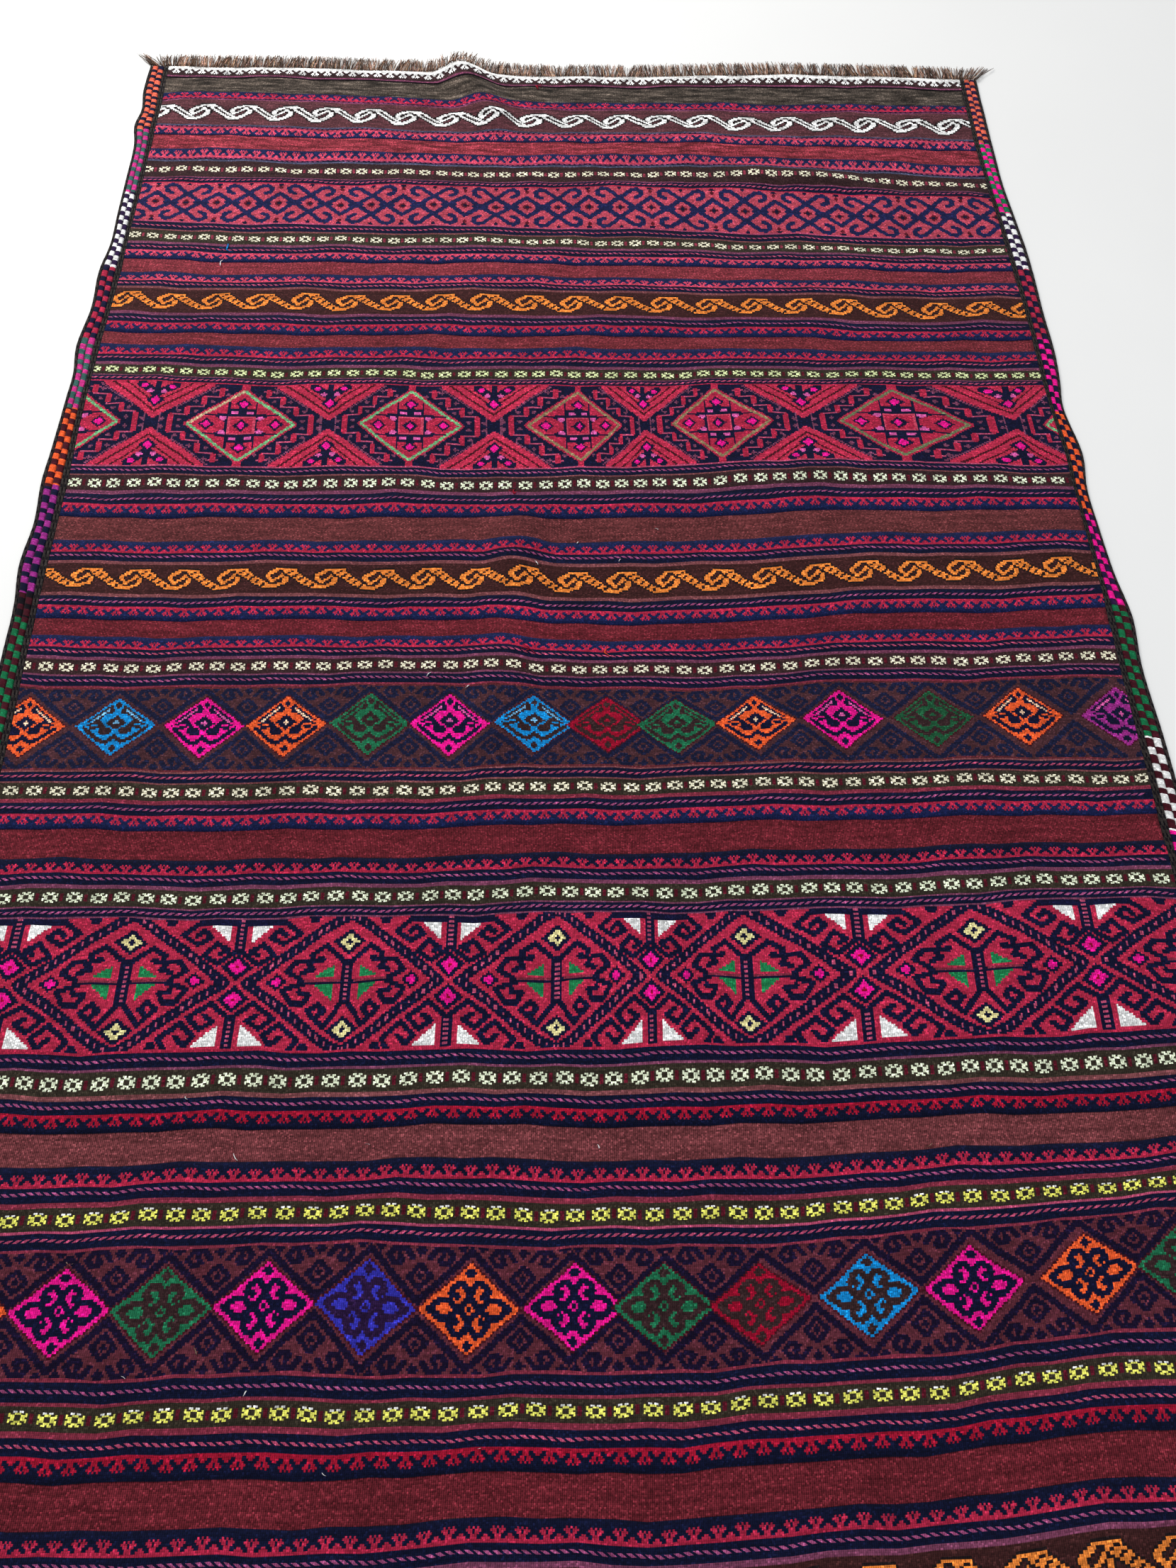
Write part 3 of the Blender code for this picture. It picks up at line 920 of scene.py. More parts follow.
def diamond_band(start, end, band, rng):
    """A row of bright diamonds on a dark ground of faint figures."""
    small = band.kind == "small_diamonds"
    repeats, marks, shift = (SMALL_DIAMONDS, SMALL_DIAMOND, 3) if small else (DIAMONDS, LARGE_DIAMOND, 1)
    count, y, places = chart_places(start, end)
    chart = blank(count, band.ground)
    centres = [x_of(repeat.across, 0.5 * (start + end)) for repeat in repeats]
    outer = [2 * centres[0] - centres[1], *centres, 2 * centres[-1] - centres[-2]]
    gaps = [0.5 * (a + b) for a, b in zip(outer, outer[1:])]
    away = np.abs(places[None, :] - np.array(gaps)[:, None]).min(axis=0)
    draw(chart, away[None, :], y, GAP_MARKS, {"curl": "ground_navy" if small else "curl_black"})
    for centre, repeat in zip(centres, repeats):
        low = max(round((centre - DIAMOND_REACH) / STITCH), 0)
        high = round((centre + DIAMOND_REACH) / STITCH)
        inner, light = INNER_DYES.get(repeat.dye, "dark_brown"), LIGHT_DYES.get(repeat.dye, repeat.dye)
        dyes = {"figure": repeat.dye, "inner": inner, "light": light}
        draw(chart[:, low:high], np.abs(places[None, low:high] - centre), y - shift, marks, dyes)
    return chart_rows(start, end, chart)


MAKERS = {
    "flowers": flowers,
    "wave": wave,
    "scroll": wave,
    "lattice": lattice,
    "main": main_band,
    "major": major_band,
    "small_diamonds": diamond_band,
    "diamonds": diamond_band,
}


def band_rows(number, band, end):
    """All rows of one figured band."""
    return MAKERS.get(band.kind, striped)(band.start, end, band, random.Random(100 + number))


# ---------------------------------------------------------------- meshes


def placed(name, data, place=(0, 0, 0), ahead=None):
    """A new object in the scene, at a place and looking along a direction."""
    obj = bpy.data.objects.new(name, data)
    obj.location = place
    if ahead is not None:
        obj.rotation_euler = Vector(ahead).to_track_quat("-Z", "Y").to_euler()
    bpy.context.scene.collection.objects.link(obj)
    return obj


def new_piece(name, points, faces, dyes, weave, material, bake_map=None):
    """A mesh object: a colour a face, weave coordinates a point and a place on baked textures a corner."""
    mesh = bpy.data.meshes.new(name)
    sizes = np.array([len(face) for face in faces], np.int32)
    corners = np.concatenate(faces).astype(np.int32)
    mesh.vertices.add(len(points))
    mesh.vertices.foreach_set("co", np.asarray(points, np.float32).ravel())
    mesh.loops.add(len(corners))
    mesh.loops.foreach_set("vertex_index", corners)
    mesh.polygons.add(len(faces))
    mesh.polygons.foreach_set("loop_start", np.cumsum(sizes, dtype=np.int32) - sizes)
    mesh.polygons.foreach_set("loop_total", sizes)
    mesh.update(calc_edges=True)
    mesh.validate()
    maps = {"weave": np.asarray(weave)[corners], "OFBake": bake_map}
    for layer, places in maps.items():
        if places is not None:
            made = mesh.uv_layers.new(name=layer, do_init=False)
            made.data.foreach_set("uv", np.asarray(places, np.float32).ravel())
    colours = mesh.color_attributes.new("dye", "FLOAT_COLOR", "CORNER")
    colours.data.foreach_set("color", np.repeat(np.asarray(dyes, np.float32), sizes, axis=0).ravel())
    mesh.shade_smooth()
    mesh.materials.append(material)
    obj = placed(name, mesh)
    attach(obj, "root")
    return obj


PLACE_JITTER = 0.25
LEVEL_JITTER = 0.07
ROW_SHADE = 0.05
CELL_SHADE = 0.07
SKIRT = 2.5
SKIRT_FALL = BROCADE_HIGH - GROUND_HIGH + 0.4
BAKE_GAP = 6.0


def jitter(count, size, rng):
    return rng.uniform(-size, size, count)


def slid(row):
    """Where a row's cuts stand on its near side."""
    return [row.cuts[0], *(cut + round(row.slant) for cut in row.cuts[1:-1]), row.cuts[-1]]


def brocade_mesh(name, rows, material, seed):
    """The raised layer of one figured zone. Neighbouring rows share the points of both."""
    rng = np.random.default_rng(seed)
    lines = [sorted({*slid(above), *row.cuts}) for above, row in zip(rows, rows[1:])]
    lines = [sorted(set(rows[0].cuts)), *lines, sorted(set(slid(rows[-1])))]
    counts = [len(line) for line in lines]
    starts = np.cumsum([0] + counts)
    x = np.concatenate(lines) / UNIT
    t = np.repeat([row.start for row in rows] + [rows[-1].end], counts).astype(float)
    raised = np.repeat([0] + [row.height for row in rows], counts)
    inner = (x > 0) & (x < FIELD_WIDTH)
    across, along = woven(x, t)
    across = across + np.where(inner, jitter(len(x), PLACE_JITTER, rng), 0.0)
    along = along + jitter(len(x), PLACE_JITTER, rng)
    z = lift(across, along) + cockle(across, along) + BROCADE_HIGH + raised
    z += jitter(len(x), LEVEL_JITTER, rng)
    faces, dyes = [], []
    for i, row in enumerate(rows):
        top = {place: starts[i] + k for k, place in enumerate(lines[i])}
        bottom = {place: starts[i + 1] + k for k, place in enumerate(lines[i + 1])}
        tops = [top[place] for place in row.cuts]
        lows = [bottom[place] for place in slid(row)]
        shade = 1.0 + rng.uniform(-ROW_SHADE, ROW_SHADE)
        for k, dye in enumerate(row.dyes):
            faces.append([*range(lows[k], lows[k + 1] + 1), *range(tops[k + 1], tops[k] - 1, -1)])
            dyes.append(DYE_LINEAR[dye] * (shade * (1 + rng.uniform(-CELL_SHADE, CELL_SHADE))))
    points = list(to_world(across, along, z))
    weave = list(np.stack([x * MM, t * MM], axis=-1))
    last_dye = dyes[-1]
    skirt(points, faces, dyes, weave, range(starts[0], starts[1]), dyes[0], -SKIRT)
    skirt(points, faces, dyes, weave, range(starts[-2], starts[-1])[::-1], last_dye, SKIRT)
    return new_piece(name, points, faces, dyes, weave, material, in_strips(faces, np.array(weave)))


def in_strips(faces, weave):
    """Each corner's place on a baked texture: a long zone as strips under one another, to come out finer."""
    x, t = weave.T / MM
    low, tall = t.min() - BAKE_GAP, np.ptp(t) + 2 * BAKE_GAP
    count = round(math.sqrt(FIELD_WIDTH / tall))
    wide = math.ceil(COLUMNS / BUTT / count) * BUTT * STITCH
    corners = np.concatenate(faces)
    strip = np.repeat([int(x[face].mean() / wide) for face in faces], [len(face) for face in faces])
    u = (x[corners] - strip * wide + BAKE_GAP) / (wide + 2 * BAKE_GAP)
    return np.stack([u, 1 - (strip + (t[corners] - low) / tall) / count], axis=-1)


def skirt(points, faces, dyes, weave, edge, dye, spread):
    """Carries an edge of the raised layer down into the ground."""
    first = len(points)
    for index in edge:
        points.append(points[index] - np.array([0, 0, SKIRT_FALL * MM]))
        weave.append(weave[index] + np.array([0, spread * MM]))
    for k in range(len(edge) - 1):
        faces.append([edge[k], edge[k + 1], first + k + 1, first + k])
        dyes.append(dye)


def zones():
    """The runs of figured bands between plain ones, as lists of (number, band, end)."""
    run = []
    for number, (band, end) in enumerate(zip(BANDS, BAND_ENDS)):
        if band.kind == "plain":
            if run:
                yield run
            run = []
        else:
            run.append((number, band, end))
    yield run


# The ground has finer cells over the ripples of its far end
RIPPLED_UPTO = 440
RIPPLED_COLUMNS = (200, 384)
PLAIN_STEP = 5.0
RIPPLED_STEP = 7.0
COVERED_STEP = 14.0
GROUND_JITTER = 0.05
GROUND_SHADE = 0.1
UNDERLAP = 2


def ground_rows():
    """Places along, with the dye of the stretch that follows each one."""
    places, dyes = [], []
    for band, end in zip(BANDS, BAND_ENDS):
        plain = band.kind == "plain"
        step = PLAIN_STEP if plain else RIPPLED_STEP if band.start < RIPPLED_UPTO else COVERED_STEP
        count = max(1, round((end - band.start) / step))
        places.extend(np.linspace(band.start, end, count + 1)[:-1])
        dyes.extend([DYE[band.ground if plain else "dark_brown"]] * count)
    return places + [FIELD_END], dyes


def ground_covered(places):
    """Which places along lie well under a figured zone."""
    places = np.array(places)
    spans = [(run[0][1].start + UNDERLAP, run[-1][2] - UNDERLAP) for run in zones()]
    return sum((places > low) & (places < high) for low, high in spans) > 0


def ground_mesh(material):
    """The flat weave under everything: a closed sheet over the cloth's folds."""
    rng = np.random.default_rng(5)
    places, row_dyes = ground_rows()
    columns = sorted({*range(0, COLUMNS, BUTT), *range(*RIPPLED_COLUMNS, FINE_BUTT), COLUMNS})
    wide, long = len(columns), len(places)
    half = wide * long
    x = np.tile(np.array(columns) * STITCH, long)
    t = np.repeat(places, wide)
    across, along = woven(x, t)
    level = np.where(np.repeat(ground_covered(places), wide), GROUND_COVERED, GROUND_HIGH)
    raised = lift(across, along)
    level = raised + cockle(across, along) + level + jitter(half, GROUND_JITTER, rng)
    top = to_world(across, along, level)
    low = to_world(across, along, raised + GROUND_LOW)
    weave = np.tile(np.stack([x * MM, t * MM], axis=-1), (2, 1))
    faces, dyes = [], []
    for i in range(long - 1):
        shade = 1 + rng.uniform(-GROUND_SHADE, GROUND_SHADE)
        for j in range(wide - 1):
            a, b = i * wide + j, (i + 1) * wide + j
            faces.append([a, b, b + 1, a + 1])
            faces.append([half + a, half + a + 1, half + b + 1, half + b])
        a, b = i * wide, (i + 1) * wide
        faces.append([a, half + a, half + b, b])
        a, b = a + wide - 1, b + wide - 1
        faces.append([a, b, half + b, half + a])
        dyes += [DYE_LINEAR[row_dyes[i]] * shade] * (2 * wide)
    last = half - wide
    for j in range(wide - 1):
        faces.append([j, j + 1, half + j + 1, half + j])
        faces.append([last + j + 1, last + j, half + last + j, half + last + j + 1])
    dyes += [DYE_LINEAR[DYE["white"]]] * (2 * (wide - 1))
    return new_piece("ground", np.concatenate([top, low]), faces, dyes, weave, material)


# The cords of a binding from its outer side: share of the width, height, and whether it is overcast in checks
Cord = namedtuple("Cord", "share high checked")
BINDING_CORDS = [Cord(*row) for row in (
    (0.15, 4.2, False), (0.29, 5.0, True), (0.29, 5.0, True), (0.135, 4.4, False), (0.135, 4.4, False),
)]
Check = namedtuple("Check", "end light dark")
LEFT_CHECKS = [Check(*row) for row in (
    (205, "coral", "navy"), (392, "cerise", "teal"), (595, "ivory", "purple_navy"),
    (772, "crimson", "navy"), (935, "cerise", "teal"), (1102, "orange", "dark_red"),
    (1310, "violet", "navy"), (1355, "dark_red", "black"), (1610, "emerald", "dark_red"),
    (1790, "ivory", "dark_red"), (1990, "magenta", "navy"), (2180, "coral", "navy"),
    (2390, "crimson", "teal"), (2600, "ivory", "purple_navy"), (2810, "magenta", "navy"),
    (3010, "emerald", "dark_red"), (3220, "orange", "navy"), (3430, "crimson", "navy"),
    (3640, "cerise", "teal"), (3900, "coral", "navy"),
)]
RIGHT_CHECKS = [Check(*row) for row in (
    (235, "coral", "purple_navy"), (437, "magenta", "emerald"), (588, "ivory", "purple_navy"),
    (760, "crimson", "navy"), (930, "magenta", "navy"), (1145, "orange", "navy"),
    (1320, "magenta", "purple_navy"), (1547, "emerald", "dark_red"), (1692, "ivory", "dark_red"),
    (1900, "magenta", "navy"), (2110, "coral", "navy"), (2330, "crimson", "teal"),
    (2540, "ivory", "purple_navy"), (2750, "magenta", "navy"), (2960, "emerald", "dark_red"),
    (3170, "orange", "navy"), (3390, "crimson", "navy"), (3610, "cerise", "teal"),
    (3900, "coral", "purple_navy"),
)]
# Lengths of the overcast blocks: far ones, up to a place along, and the others
FAR_BLOCKS_UPTO = 220
FAR_BLOCKS = (8.5, 10.5)
BLOCKS = (10.5, 14.5)
WRAP_PITCH = 3.0
WRAP_SLANT = 1.6
WRAP_PUFF = (-0.05, 0.07)
WRAP_SHADE = 0.12
CORD_OVERLAP = 0.25
CORD_FLATNESS = 0.97
CORD_SIDES = 6
LEAST_HEIGHT = 0.05
BAKE_STRIPS = 6


def check_blocks(seed):
    """Where the overcast blocks of a binding end along it: shorter ones near the far end."""
    rng = random.Random(seed)
    ends = [FIELD_START + 5]
    while ends[-1] < FIELD_END:
        ends.append(ends[-1] + rng.uniform(*(FAR_BLOCKS if ends[-1] < FAR_BLOCKS_UPTO else BLOCKS)))
    return np.array(ends)


class Tubes:
    """Collects tubes of a few sides as one mesh."""

    def __init__(self, sides):
        self.sides = sides
        self.points, self.faces, self.dyes, self.weave, self.bake_map = [], [], [], [], []

    def add(self, rings, weave, dyes, places):
        """A tube through rings of points, with a dye for each face and for both ends.

        `places` are the left and low edges of its first face on a baked texture, and its faces' height there,
        where they are one unit wide and a strip ends at every whole unit of height.
        """
        sides, first = self.sides, len(self.points)
        self.points += [point for ring in rings for point in ring]
        self.weave += weave
        self.dyes += dyes
        for step in range(len(rings) - 1):
            left, low, tall = places(step)
            for k in range(sides):
                a, b = first + step * sides + k, first + step * sides + (k + 1) % sides
                self.faces.append([a, b, b + sides, a + sides])
                u = left + k
                self.bake_map += [(u, low), (u + 1, low), (u + 1, low + tall), (u, low + tall)]
        self.bake_map += [self.bake_map[-2]] * (2 * sides)
        last = len(self.points) - sides
        self.faces += [list(range(first, first + sides))[::-1], list(range(last, last + sides))]

    def piece(self, name, material, whole):
        """The mesh, with the baked texture `whole` units wide and high."""
        bake_map = np.array(self.bake_map) / whole
        return new_piece(name, self.points, self.faces, self.dyes, self.weave, material, bake_map)


def binding_mesh(name, outer_column, field_column, checks, material, seed):
    """Overcast cords side by side along one edge."""
    rng = np.random.default_rng(seed)
    block_ends = check_blocks(seed)
    tubes = Tubes(CORD_SIDES)
    cord_start = 0.0
    for number, cord in enumerate(BINDING_CORDS):
        count = round((FIELD_END - FIELD_START) / (WRAP_PITCH if cord.checked else 2 * WRAP_PITCH))
        shares = np.linspace(0, 1, count + 1)
        across, along = lying(outer_column, field_column, cord_start + 0.5 * cord.share, shares)
        outer = lying(outer_column, field_column, cord_start, shares)[0]
        inner = lying(outer_column, field_column, cord_start + cord.share, shares)[0]
        radius = 0.5 * np.abs(inner - outer) + CORD_OVERLAP
        puff = 1 + rng.uniform(*WRAP_PUFF, count + 1)
        rings, weave, dyes = [], [], []
        for ring in range(count + 1):
            rings.append([])
            for k in range(CORD_SIDES):
                turn = 2 * math.pi * k / CORD_SIDES
                place = across[ring] + math.cos(turn) * radius[ring] * puff[ring]
                # The wraps lie aslant, so each ring runs a little ahead on one side
                at = np.clip(along[ring] + WRAP_SLANT * math.cos(turn), along[0], along[-1])
                level = 0.5 * cord.high * (1 + math.sin(turn) * puff[ring] * CORD_FLATNESS)
                rings[-1].append(to_world(place, at, max(level, LEAST_HEIGHT)))
                weave.append((place * MM, along[ring] * MM))
        for ring in range(count):
            check = next((check for check in checks if along[ring] <= check.end), checks[-1])
            light = (np.searchsorted(block_ends, along[ring]) + number) % 2
            for k in range(CORD_SIDES):
                dye = "twill" if (ring + k) % 3 else "black"
                if cord.checked:
                    dye = check.light if light else check.dark
                dyes.append(DYE_LINEAR[DYE[dye]] * (1 + rng.uniform(-WRAP_SHADE, WRAP_SHADE)))
        dyes += [DYE_LINEAR[DYE["black"]]] * 2

        def places(ring):
            strip, low = divmod(ring * BAKE_STRIPS / count, 1)
            return (strip * len(BINDING_CORDS) + number) * (CORD_SIDES + 1), low, BAKE_STRIPS / count

        tubes.add(rings, weave, dyes, places)
        cord_start += cord.share
    return tubes.piece(name, material, (BAKE_STRIPS * len(BINDING_CORDS) * (CORD_SIDES + 1), 1.01))


FRINGE_YARNS = 1700
FRINGE_LENGTH = 43.0
FRINGE_STEPS = 5
LOCK_YARNS = 12
YARN_SIDES = 3
YARN_RADIUS = 1.0
YARN_TIP = 0.5
YARN_TWIST = 0.8
YARNS_A_ROW = 48
# How far the yarns and their locks lean to one side, to a length of 1, and how they spread at the corners
YARN_LEAN = 0.2
LOCK_LEAN = 0.2
CORNER_LEAN = 0.95
CORNER_REACH = 60
CURLS = (0.6, 2.6)
LENGTH_CHANGES = (-9, 3)
YARN_HEIGHTS = (0.9, 6.5)
LEAST_YARN_HEIGHT = 0.6
LOCK_TONES = (0.55, 1.15)


class Yarns(Tubes):
    """Collects tapered yarns as one mesh."""

    def __init__(self):
        super().__init__(YARN_SIDES)
        self.count = 0

    def yarn(self, path, radius, tip, colour):
        """One yarn along (across, along, height) places, which are as many for each."""
        rings, weave = [], []
        for step, (u, v, z) in enumerate(path):
            size = radius + (tip - radius) * step / (len(path) - 1)
            angles = [2 * math.pi * (k + 0.5 + YARN_TWIST * step) / YARN_SIDES for k in range(YARN_SIDES)]
            ring = [(u + size * math.cos(a), v, max(z + size * math.sin(a), LEAST_HEIGHT)) for a in angles]
            rings.append([to_world(*point) for point in ring])
            weave += [(u * MM, v * MM)] * YARN_SIDES
        row, column = divmod(self.count, YARNS_A_ROW)
        dyes = [colour] * ((len(path) - 1) * YARN_SIDES + 2)

        def places(step):
            return column * (YARN_SIDES + 1), row * (len(path) + 1) + step, 1

        self.add(rings, weave, dyes, places)
        self.count += 1

    def piece(self, name, material):
        return super().piece(name, material, np.max(self.bake_map, axis=0) + 1)


def fringe_mesh(name, end_column, outward, material, seed):
    """The warp ends past one end of the cloth: loose, curly yarns in small locks."""
    rng = random.Random(seed)
    middle_along = float(end_line(end_column, side("left_outer", 0.0)))
    left, right = float(side("left_outer", middle_along)) + 2, float(side("right_outer", middle_along)) - 2
    yarns = Yarns()
    for number in range(FRINGE_YARNS):
        if number % LOCK_YARNS == 0:
            lock_lean, lock_tone = rng.uniform(-LOCK_LEAN, LOCK_LEAN), rng.uniform(*LOCK_TONES)
        share = (number + rng.uniform(0.1, 0.9)) / FRINGE_YARNS
        share -= 0.1 / (2 * math.pi) * math.sin(2 * math.pi * share)
        across = left + share * (right - left)
        edge = float(end_line(end_column, across)) + outward * 0.4
        raised = float(lift(across, edge))
        # At both corners the yarns spread sideways
        corner = max(0.0, 1 - (across - left) / CORNER_REACH) - max(0.0, 1 - (right - across) / CORNER_REACH)
        lean = lock_lean + rng.uniform(-YARN_LEAN, YARN_LEAN) - CORNER_LEAN * corner
        curl, phase = rng.uniform(*CURLS), rng.uniform(0, 2 * math.pi)
        length = FRINGE_LENGTH + rng.uniform(*LENGTH_CHANGES) - 3 * abs(lock_lean)
        high = rng.uniform(*YARN_HEIGHTS)
        tone = lock_tone * (0.26 + 2.0 * rng.random() ** 2.1)
        tint = np.array([1.0, rng.uniform(0.86, 1.0), rng.uniform(0.8, 1.05), 1.0])
        colour = DYE_LINEAR[DYE["fleece"]] * tone * tint
        colour[3] = 1.0
        path = []
        for w in np.arange(FRINGE_STEPS + 1) / FRINGE_STEPS:
            u = across + lean * length * w + curl * math.sin(phase + 5.5 * w) * w
            z = raised * (1 - 0.25 * w) + high * (1 - 0.45 * w) + 0.5 * curl * math.sin(phase + 7 * w) * w
            path.append((u, edge + outward * length * w, max(z, LEAST_YARN_HEIGHT)))
        yarns.yarn(path, YARN_RADIUS, YARN_TIP, colour)
    return yarns.piece(name, material)


# Knotted ends and lint on the face of the cloth: floor place, how many yarns, length of each, dye
LooseEnd = namedtuple("LooseEnd", "across along yarns length dye")
LOOSE_ENDS = [LooseEnd(*row) for row in (
    (760, 65, 4, 13, "bright_crimson"), (757, 1118, 4, 13, "bright_crimson"),
    (790, 1410, 4, 12, "bright_crimson"), (217, 550, 4, 15, "sky"), (900, 1413, 2, 10, "orange"),
    (212, 592, 1, 16, "white"), (648, 1449, 1, 9, "white"), (705, 1472, 1, 7, "ivory"),
    (1180, 905, 1, 9, "fleece"), (1290, 2107, 1, 12, "fleece"), (468, 2134, 1, 10, "ivory"),
    (397, 2063, 1, 5, "ivory"), (622, 2114, 1, 5, "ivory"), (895, 2116, 1, 5, "ivory"),
    (290, 2247, 1, 9, "fleece"), (374, 2362, 1, 6, "ivory"), (453, 2340, 1, 8, "fleece"),
    (513, 2375, 1, 6, "ivory"), (770, 2427, 1, 4, "ivory"), (608, 2454, 1, 5, "ivory"),
    (924, 1242, 1, 5, "ivory"), (796, 1254, 2, 4, "ivory"), (982, 1183, 1, 5, "ivory"),
    (857, 1212, 1, 4, "ivory"),
)]
LOOSE_TURN = 1.4
LOOSE_LIFT = 0.4
LOOSE_ARCH = 1.4
LOOSE_TIP = 0.6


def loose_ends_mesh(name, material):
    """Short ends of yarn that stand out of the weave."""
    rng = random.Random(31)
    yarns = Yarns()
    for end in LOOSE_ENDS:
        for _ in range(end.yarns):
            heading = rng.uniform(0, 2 * math.pi)
            turn = rng.uniform(-LOOSE_TURN, LOOSE_TURN)
            u, v, step = end.across, end.along, end.length / FRINGE_STEPS
            path = []
            for k in range(FRINGE_STEPS + 1):
                level = float(lift(u, v) + cockle(u, v)) + BROCADE_HIGH
                path.append((u, v, level + LOOSE_LIFT + LOOSE_ARCH * math.sin(math.pi * k / FRINGE_STEPS)))
                u += step * math.cos(heading)
                v += step * math.sin(heading)
                heading += turn / FRINGE_STEPS + rng.uniform(-0.2, 0.2)
            yarns.yarn(path, YARN_RADIUS, LOOSE_TIP, DYE_LINEAR[DYE[end.dye]])
    return yarns.piece(name, material)


# ---------------------------------------------------------------- materials


class Nodes:
    """Short ways to build a material's nodes."""

    def __init__(self, name):
        self.material = bpy.data.materials.new(name)
        self.material.use_nodes = True
        self.shader = self.material.node_tree.nodes["Principled BSDF"]

    def feed(self, node, inputs):
        """Sets inputs of a node, by name or number, to values or to other nodes' outputs."""
        for key, value in inputs.items():
            if isinstance(value, bpy.types.NodeSocket):
                self.material.node_tree.links.new(value, node.inputs[key])
            else:
                node.inputs[key].default_value = value
        return node

    def node(self, kind, inputs=None, **settings):
        node = self.material.node_tree.nodes.new(kind)
        for key, value in settings.items():
            setattr(node, key, value)
        return self.feed(node, inputs or {})

    def math(self, operation, *values):
        return self.node("ShaderNodeMath", dict(enumerate(values)), operation=operation).outputs[0]

    def times(self, first, second):
        return self.math("MULTIPLY", first, second)

    def ridges(self, value):
        """Rounded ridges, one for each whole step of a value."""
        return self.math("ABSOLUTE", self.math("SINE", self.times(value, math.pi)))

    def place(self, x, y):
        return self.node("ShaderNodeCombineXYZ", {0: x, 1: y}).outputs[0]

    def noise(self, scale, detail, roughness, **vector):
        values = {"Scale": scale, "Detail": detail, "Roughness": roughness}
        return self.node("ShaderNodeTexNoise", {**vector, **values}).outputs["Fac"]

    def span(self, value, low, high, to_low, to_high):
        """A value carried from one range to another."""
        limits = {"From Min": low, "From Max": high, "To Min": to_low, "To Max": to_high}
        return self.node("ShaderNodeMapRange", {"Value": value, **limits}).outputs[0]


# Blots of uneven dye: how many to a metre across and along, and how deep
PATCHES = (20.0, 120.0)
STREAKS = (12.0, 260.0, 0.2)
BROAD_BLOTS = (9.0, 9.0, 0.12)
# Noises: scale, detail and roughness
BLOT_NOISE = (1.0, 3.0, 0.6)
FUZZ_NOISE = (900.0, 2.0, 0.7)
FLOOR_NOISE = (30.0, 4.0, 0.6)
# Towards the far end the patches are raised to a power, deepening uneven dye with painted shade of the
# cloth's puckers: from metres along to metres along
FAR_DYE_AND_SHADE_POWER = (0.1, 0.5, 4.5, 1.0)
FLECKS_FROM = 0.86
FLECK_TONE = 1.7
STITCH_HEIGHT = 0.6 * MM


def wool(name, rib_shading_depth, tone_and_highlight_depth, patch_depth, sheen, row_pitch):
    """Dyed handspun wool in a weave: ribs over the warp, rows of weft, uneven dye, painted shade and
    highlights and a soft sheen.
    """
    nodes = Nodes(name)
    weave = nodes.node("ShaderNodeUVMap", uv_map="weave").outputs[0]
    x, t = nodes.node("ShaderNodeSeparateXYZ", {0: weave}).outputs[:2]
    column = nodes.math("DIVIDE", x, STITCH * MM)
    row = nodes.math("DIVIDE", t, row_pitch * MM)
    whole_row = nodes.math("FLOOR", row)
    stitch = nodes.math("ADD", column, nodes.times(nodes.math("MODULO", whole_row, 2.0), 0.5))
    cell = nodes.place(nodes.math("FLOOR", stitch), whole_row)
    white = nodes.node("ShaderNodeTexWhiteNoise", {"Vector": cell}, noise_dimensions="2D").outputs["Value"]
    # A random tone for each stitch: partly its uneven yarn, partly painted highlights of the wool's hairs
    stitch_tone_and_highlight = nodes.span(white, 0.0, 1.0, 1 - tone_and_highlight_depth, 1 + tone_and_highlight_depth)
    flecks = nodes.span(white, FLECKS_FROM, 1.0, 1.0, FLECK_TONE)

    def blots(along_x, along_t, depth):
        place = nodes.place(nodes.times(x, along_x), nodes.times(t, along_t))
        return nodes.span(nodes.noise(*BLOT_NOISE, Vector=place), 0.3, 0.7, 1 - depth, 1 + depth)

    # Towards the far end the patches hold painted shade of the puckers as well as uneven dye
    patches = nodes.math("POWER", blots(*PATCHES, patch_depth), nodes.span(t, *FAR_DYE_AND_SHADE_POWER))
    streaks = nodes.times(blots(*STREAKS), patches)
    broad = nodes.times(blots(*BROAD_BLOTS), flecks)
    # Painted shade in the hollows between the warp ribs and painted highlights on their crests
    painted_rib_shading = nodes.span(nodes.ridges(column), 0.0, 1.0, 1 - rib_shading_depth, 1 + 0.4 * rib_shading_depth)
    tone = nodes.times(nodes.times(stitch_tone_and_highlight, streaks), nodes.times(broad, painted_rib_shading))
    dye = nodes.node("ShaderNodeAttribute", attribute_name="dye").outputs["Color"]
    coloured = nodes.node("ShaderNodeVectorMath", {0: dye, "Scale": tone}, operation="SCALE")
    fuzz = nodes.noise(*FUZZ_NOISE, Vector=weave)
    beads = nodes.times(nodes.ridges(stitch), nodes.ridges(row))
    relief = nodes.math("ADD", beads, nodes.times(fuzz, 0.5))
    bump = nodes.node("ShaderNodeBump", {"Strength": 0.55, "Distance": STITCH_HEIGHT, "Height": relief})
    surface = {"Roughness": 0.9, "Specular IOR Level": 0.08, "Sheen Weight": sheen, "Sheen Roughness": 0.5}
    nodes.feed(nodes.shader, {"Base Color": coloured.outputs[0], "Normal": bump.outputs[0], **surface})
    return nodes.material


def floor_material():
    nodes = Nodes("floor_surface")
    ramp = nodes.node("ShaderNodeValToRGB", {0: nodes.noise(*FLOOR_NOISE)})
    for element, shade in zip(ramp.color_ramp.elements, (1.0, 0.93)):
        element.color = tuple(shade * c for c in linear("floor")[:3]) + (1.0,)
    glow = {"Emission Color": (1.0, 1.0, 0.99, 1.0), "Emission Strength": 0.14}
    nodes.feed(nodes.shader, {"Base Color": ramp.outputs[0], "Roughness": 0.8, **glow})
    return nodes.material


# ---------------------------------------------------------------- the scene

# Across, along and up, in mm
CAMERA_PLACE = (883.8, 2378.0, 1441.0)
CAMERA_PITCH = math.radians(62.487)
CAMERA_HEADING = (-0.0086, 0.99996)
CAMERA_LENS = 27.03
FLOOR_REACH = 9.0


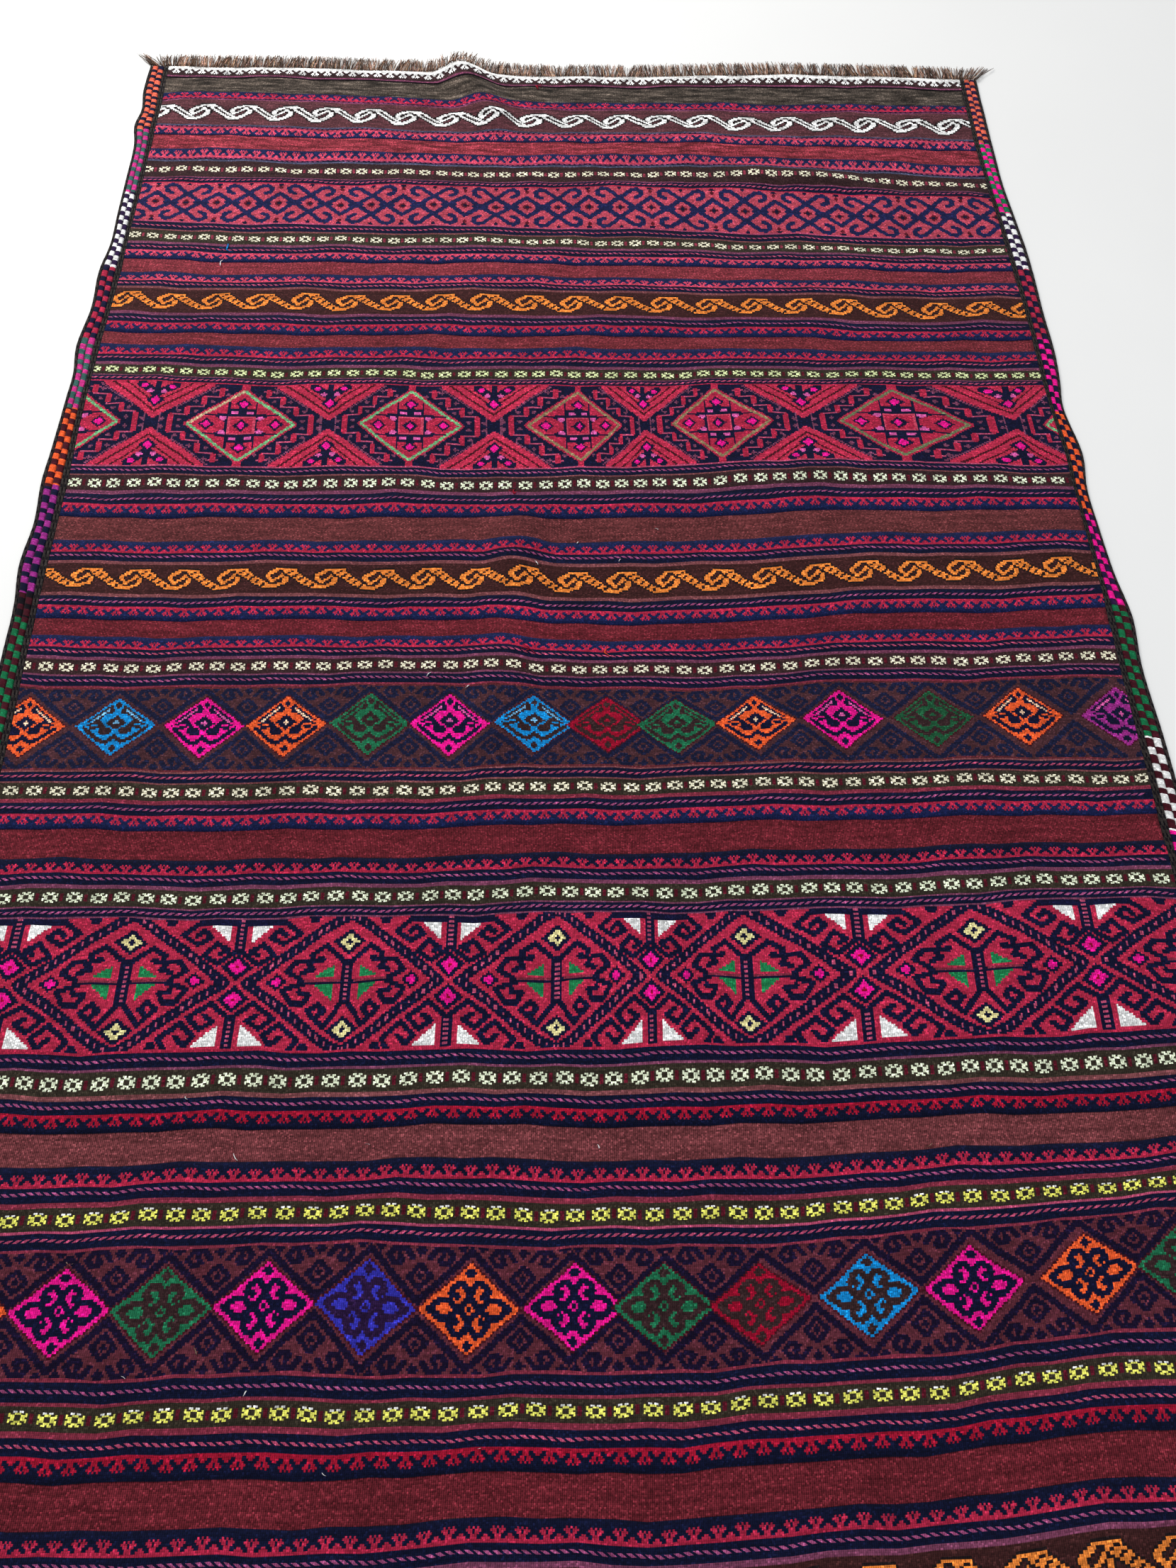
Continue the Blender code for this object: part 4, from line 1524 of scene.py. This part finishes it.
def make_camera():
    data = bpy.data.cameras.new("camera")
    data.sensor_width = 36.0
    data.lens = CAMERA_LENS
    data.clip_start = 0.02
    flat = math.cos(CAMERA_PITCH)
    ahead = (CAMERA_HEADING[0] * flat, CAMERA_HEADING[1] * flat, -math.sin(CAMERA_PITCH))
    bpy.context.scene.camera = placed("camera", data, to_world(*CAMERA_PLACE), ahead)


def make_light(name, place, aim, size, power, colour):
    data = bpy.data.lights.new(name, "AREA")
    data.shape = "DISK"
    data.size, data.energy, data.color = size, power, colour
    placed(name, data, place, Vector(aim) - Vector(place))


def make_floor():
    mesh = bpy.data.meshes.new("floor")
    corners = ((-1, -1), (1, -1), (1, 1), (-1, 1))
    mesh.from_pydata([(FLOOR_REACH * x, FLOOR_REACH * y, 0) for x, y in corners], [], [(0, 1, 2, 3)])
    mesh.materials.append(floor_material())
    floor = placed("floor", mesh)


def make_world():
    world = bpy.data.worlds.new("soft_room")
    world.use_nodes = True
    inputs = world.node_tree.nodes["Background"].inputs
    inputs["Color"].default_value = (0.92, 0.95, 1.0, 1.0)
    inputs["Strength"].default_value = 0.42
    bpy.context.scene.world = world


make_camera()
make_floor()
make_world()
make_light("window", (-2.2, 3.2, 2.6), (0, 0.6, 0), 2.2, 125, (1.0, 0.98, 0.95))
make_light("fill", (2.6, -1.5, 2.8), (0, 0.2, 0), 2.5, 30, (0.95, 0.97, 1.0))
bpy.context.scene.view_settings.view_transform = "Standard"

# Depth of the painted rib shading, of each stitch's tone and painted highlight and of the patches, sheen, and
# mm from one row to the next
ground_wool, brocade_wool, binding_wool, fringe_wool = (wool(*row) for row in (
    ("ground_wool", 0.6, 0.42, 0.28, 0.03, 1.9),
    ("brocade_wool", 0.35, 0.32, 0.12, 0.03, 1.9),
    ("binding_wool", 0.10, 0.15, 0.10, 0.04, 1.5),
    ("fringe_wool", 0.05, 0.2, 0.10, 0.04, 1.5),
))

ground = ground_mesh(ground_wool)
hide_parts("kilim")
brocades = []
for run in zones():
    rows = [row for number, band, end in run for row in band_rows(number, band, end)]
    piece = brocade_mesh(f"brocade_{len(brocades) + 1:02d}", rows, brocade_wool, 20 + len(brocades))
    brocades.append(piece)
loose_ends = loose_ends_mesh("loose_ends", binding_wool)

for name, outer, field, checks in (
    ("selvedge_left", "left_outer", "left_field", LEFT_CHECKS),
    ("selvedge_right", "right_outer", "right_field", RIGHT_CHECKS),
):
    binding = binding_mesh("binding_" + name.split("_")[1], outer, field, checks, binding_wool, 60)
    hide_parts(name)

for name, column, outward in (("fringe_far", "far", -1), ("fringe_near", "near", 1)):
    fringe = fringe_mesh("warp_ends_" + column, column, outward, fringe_wool, 70 + outward)
    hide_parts(name)

bpy.context.view_layer.update()
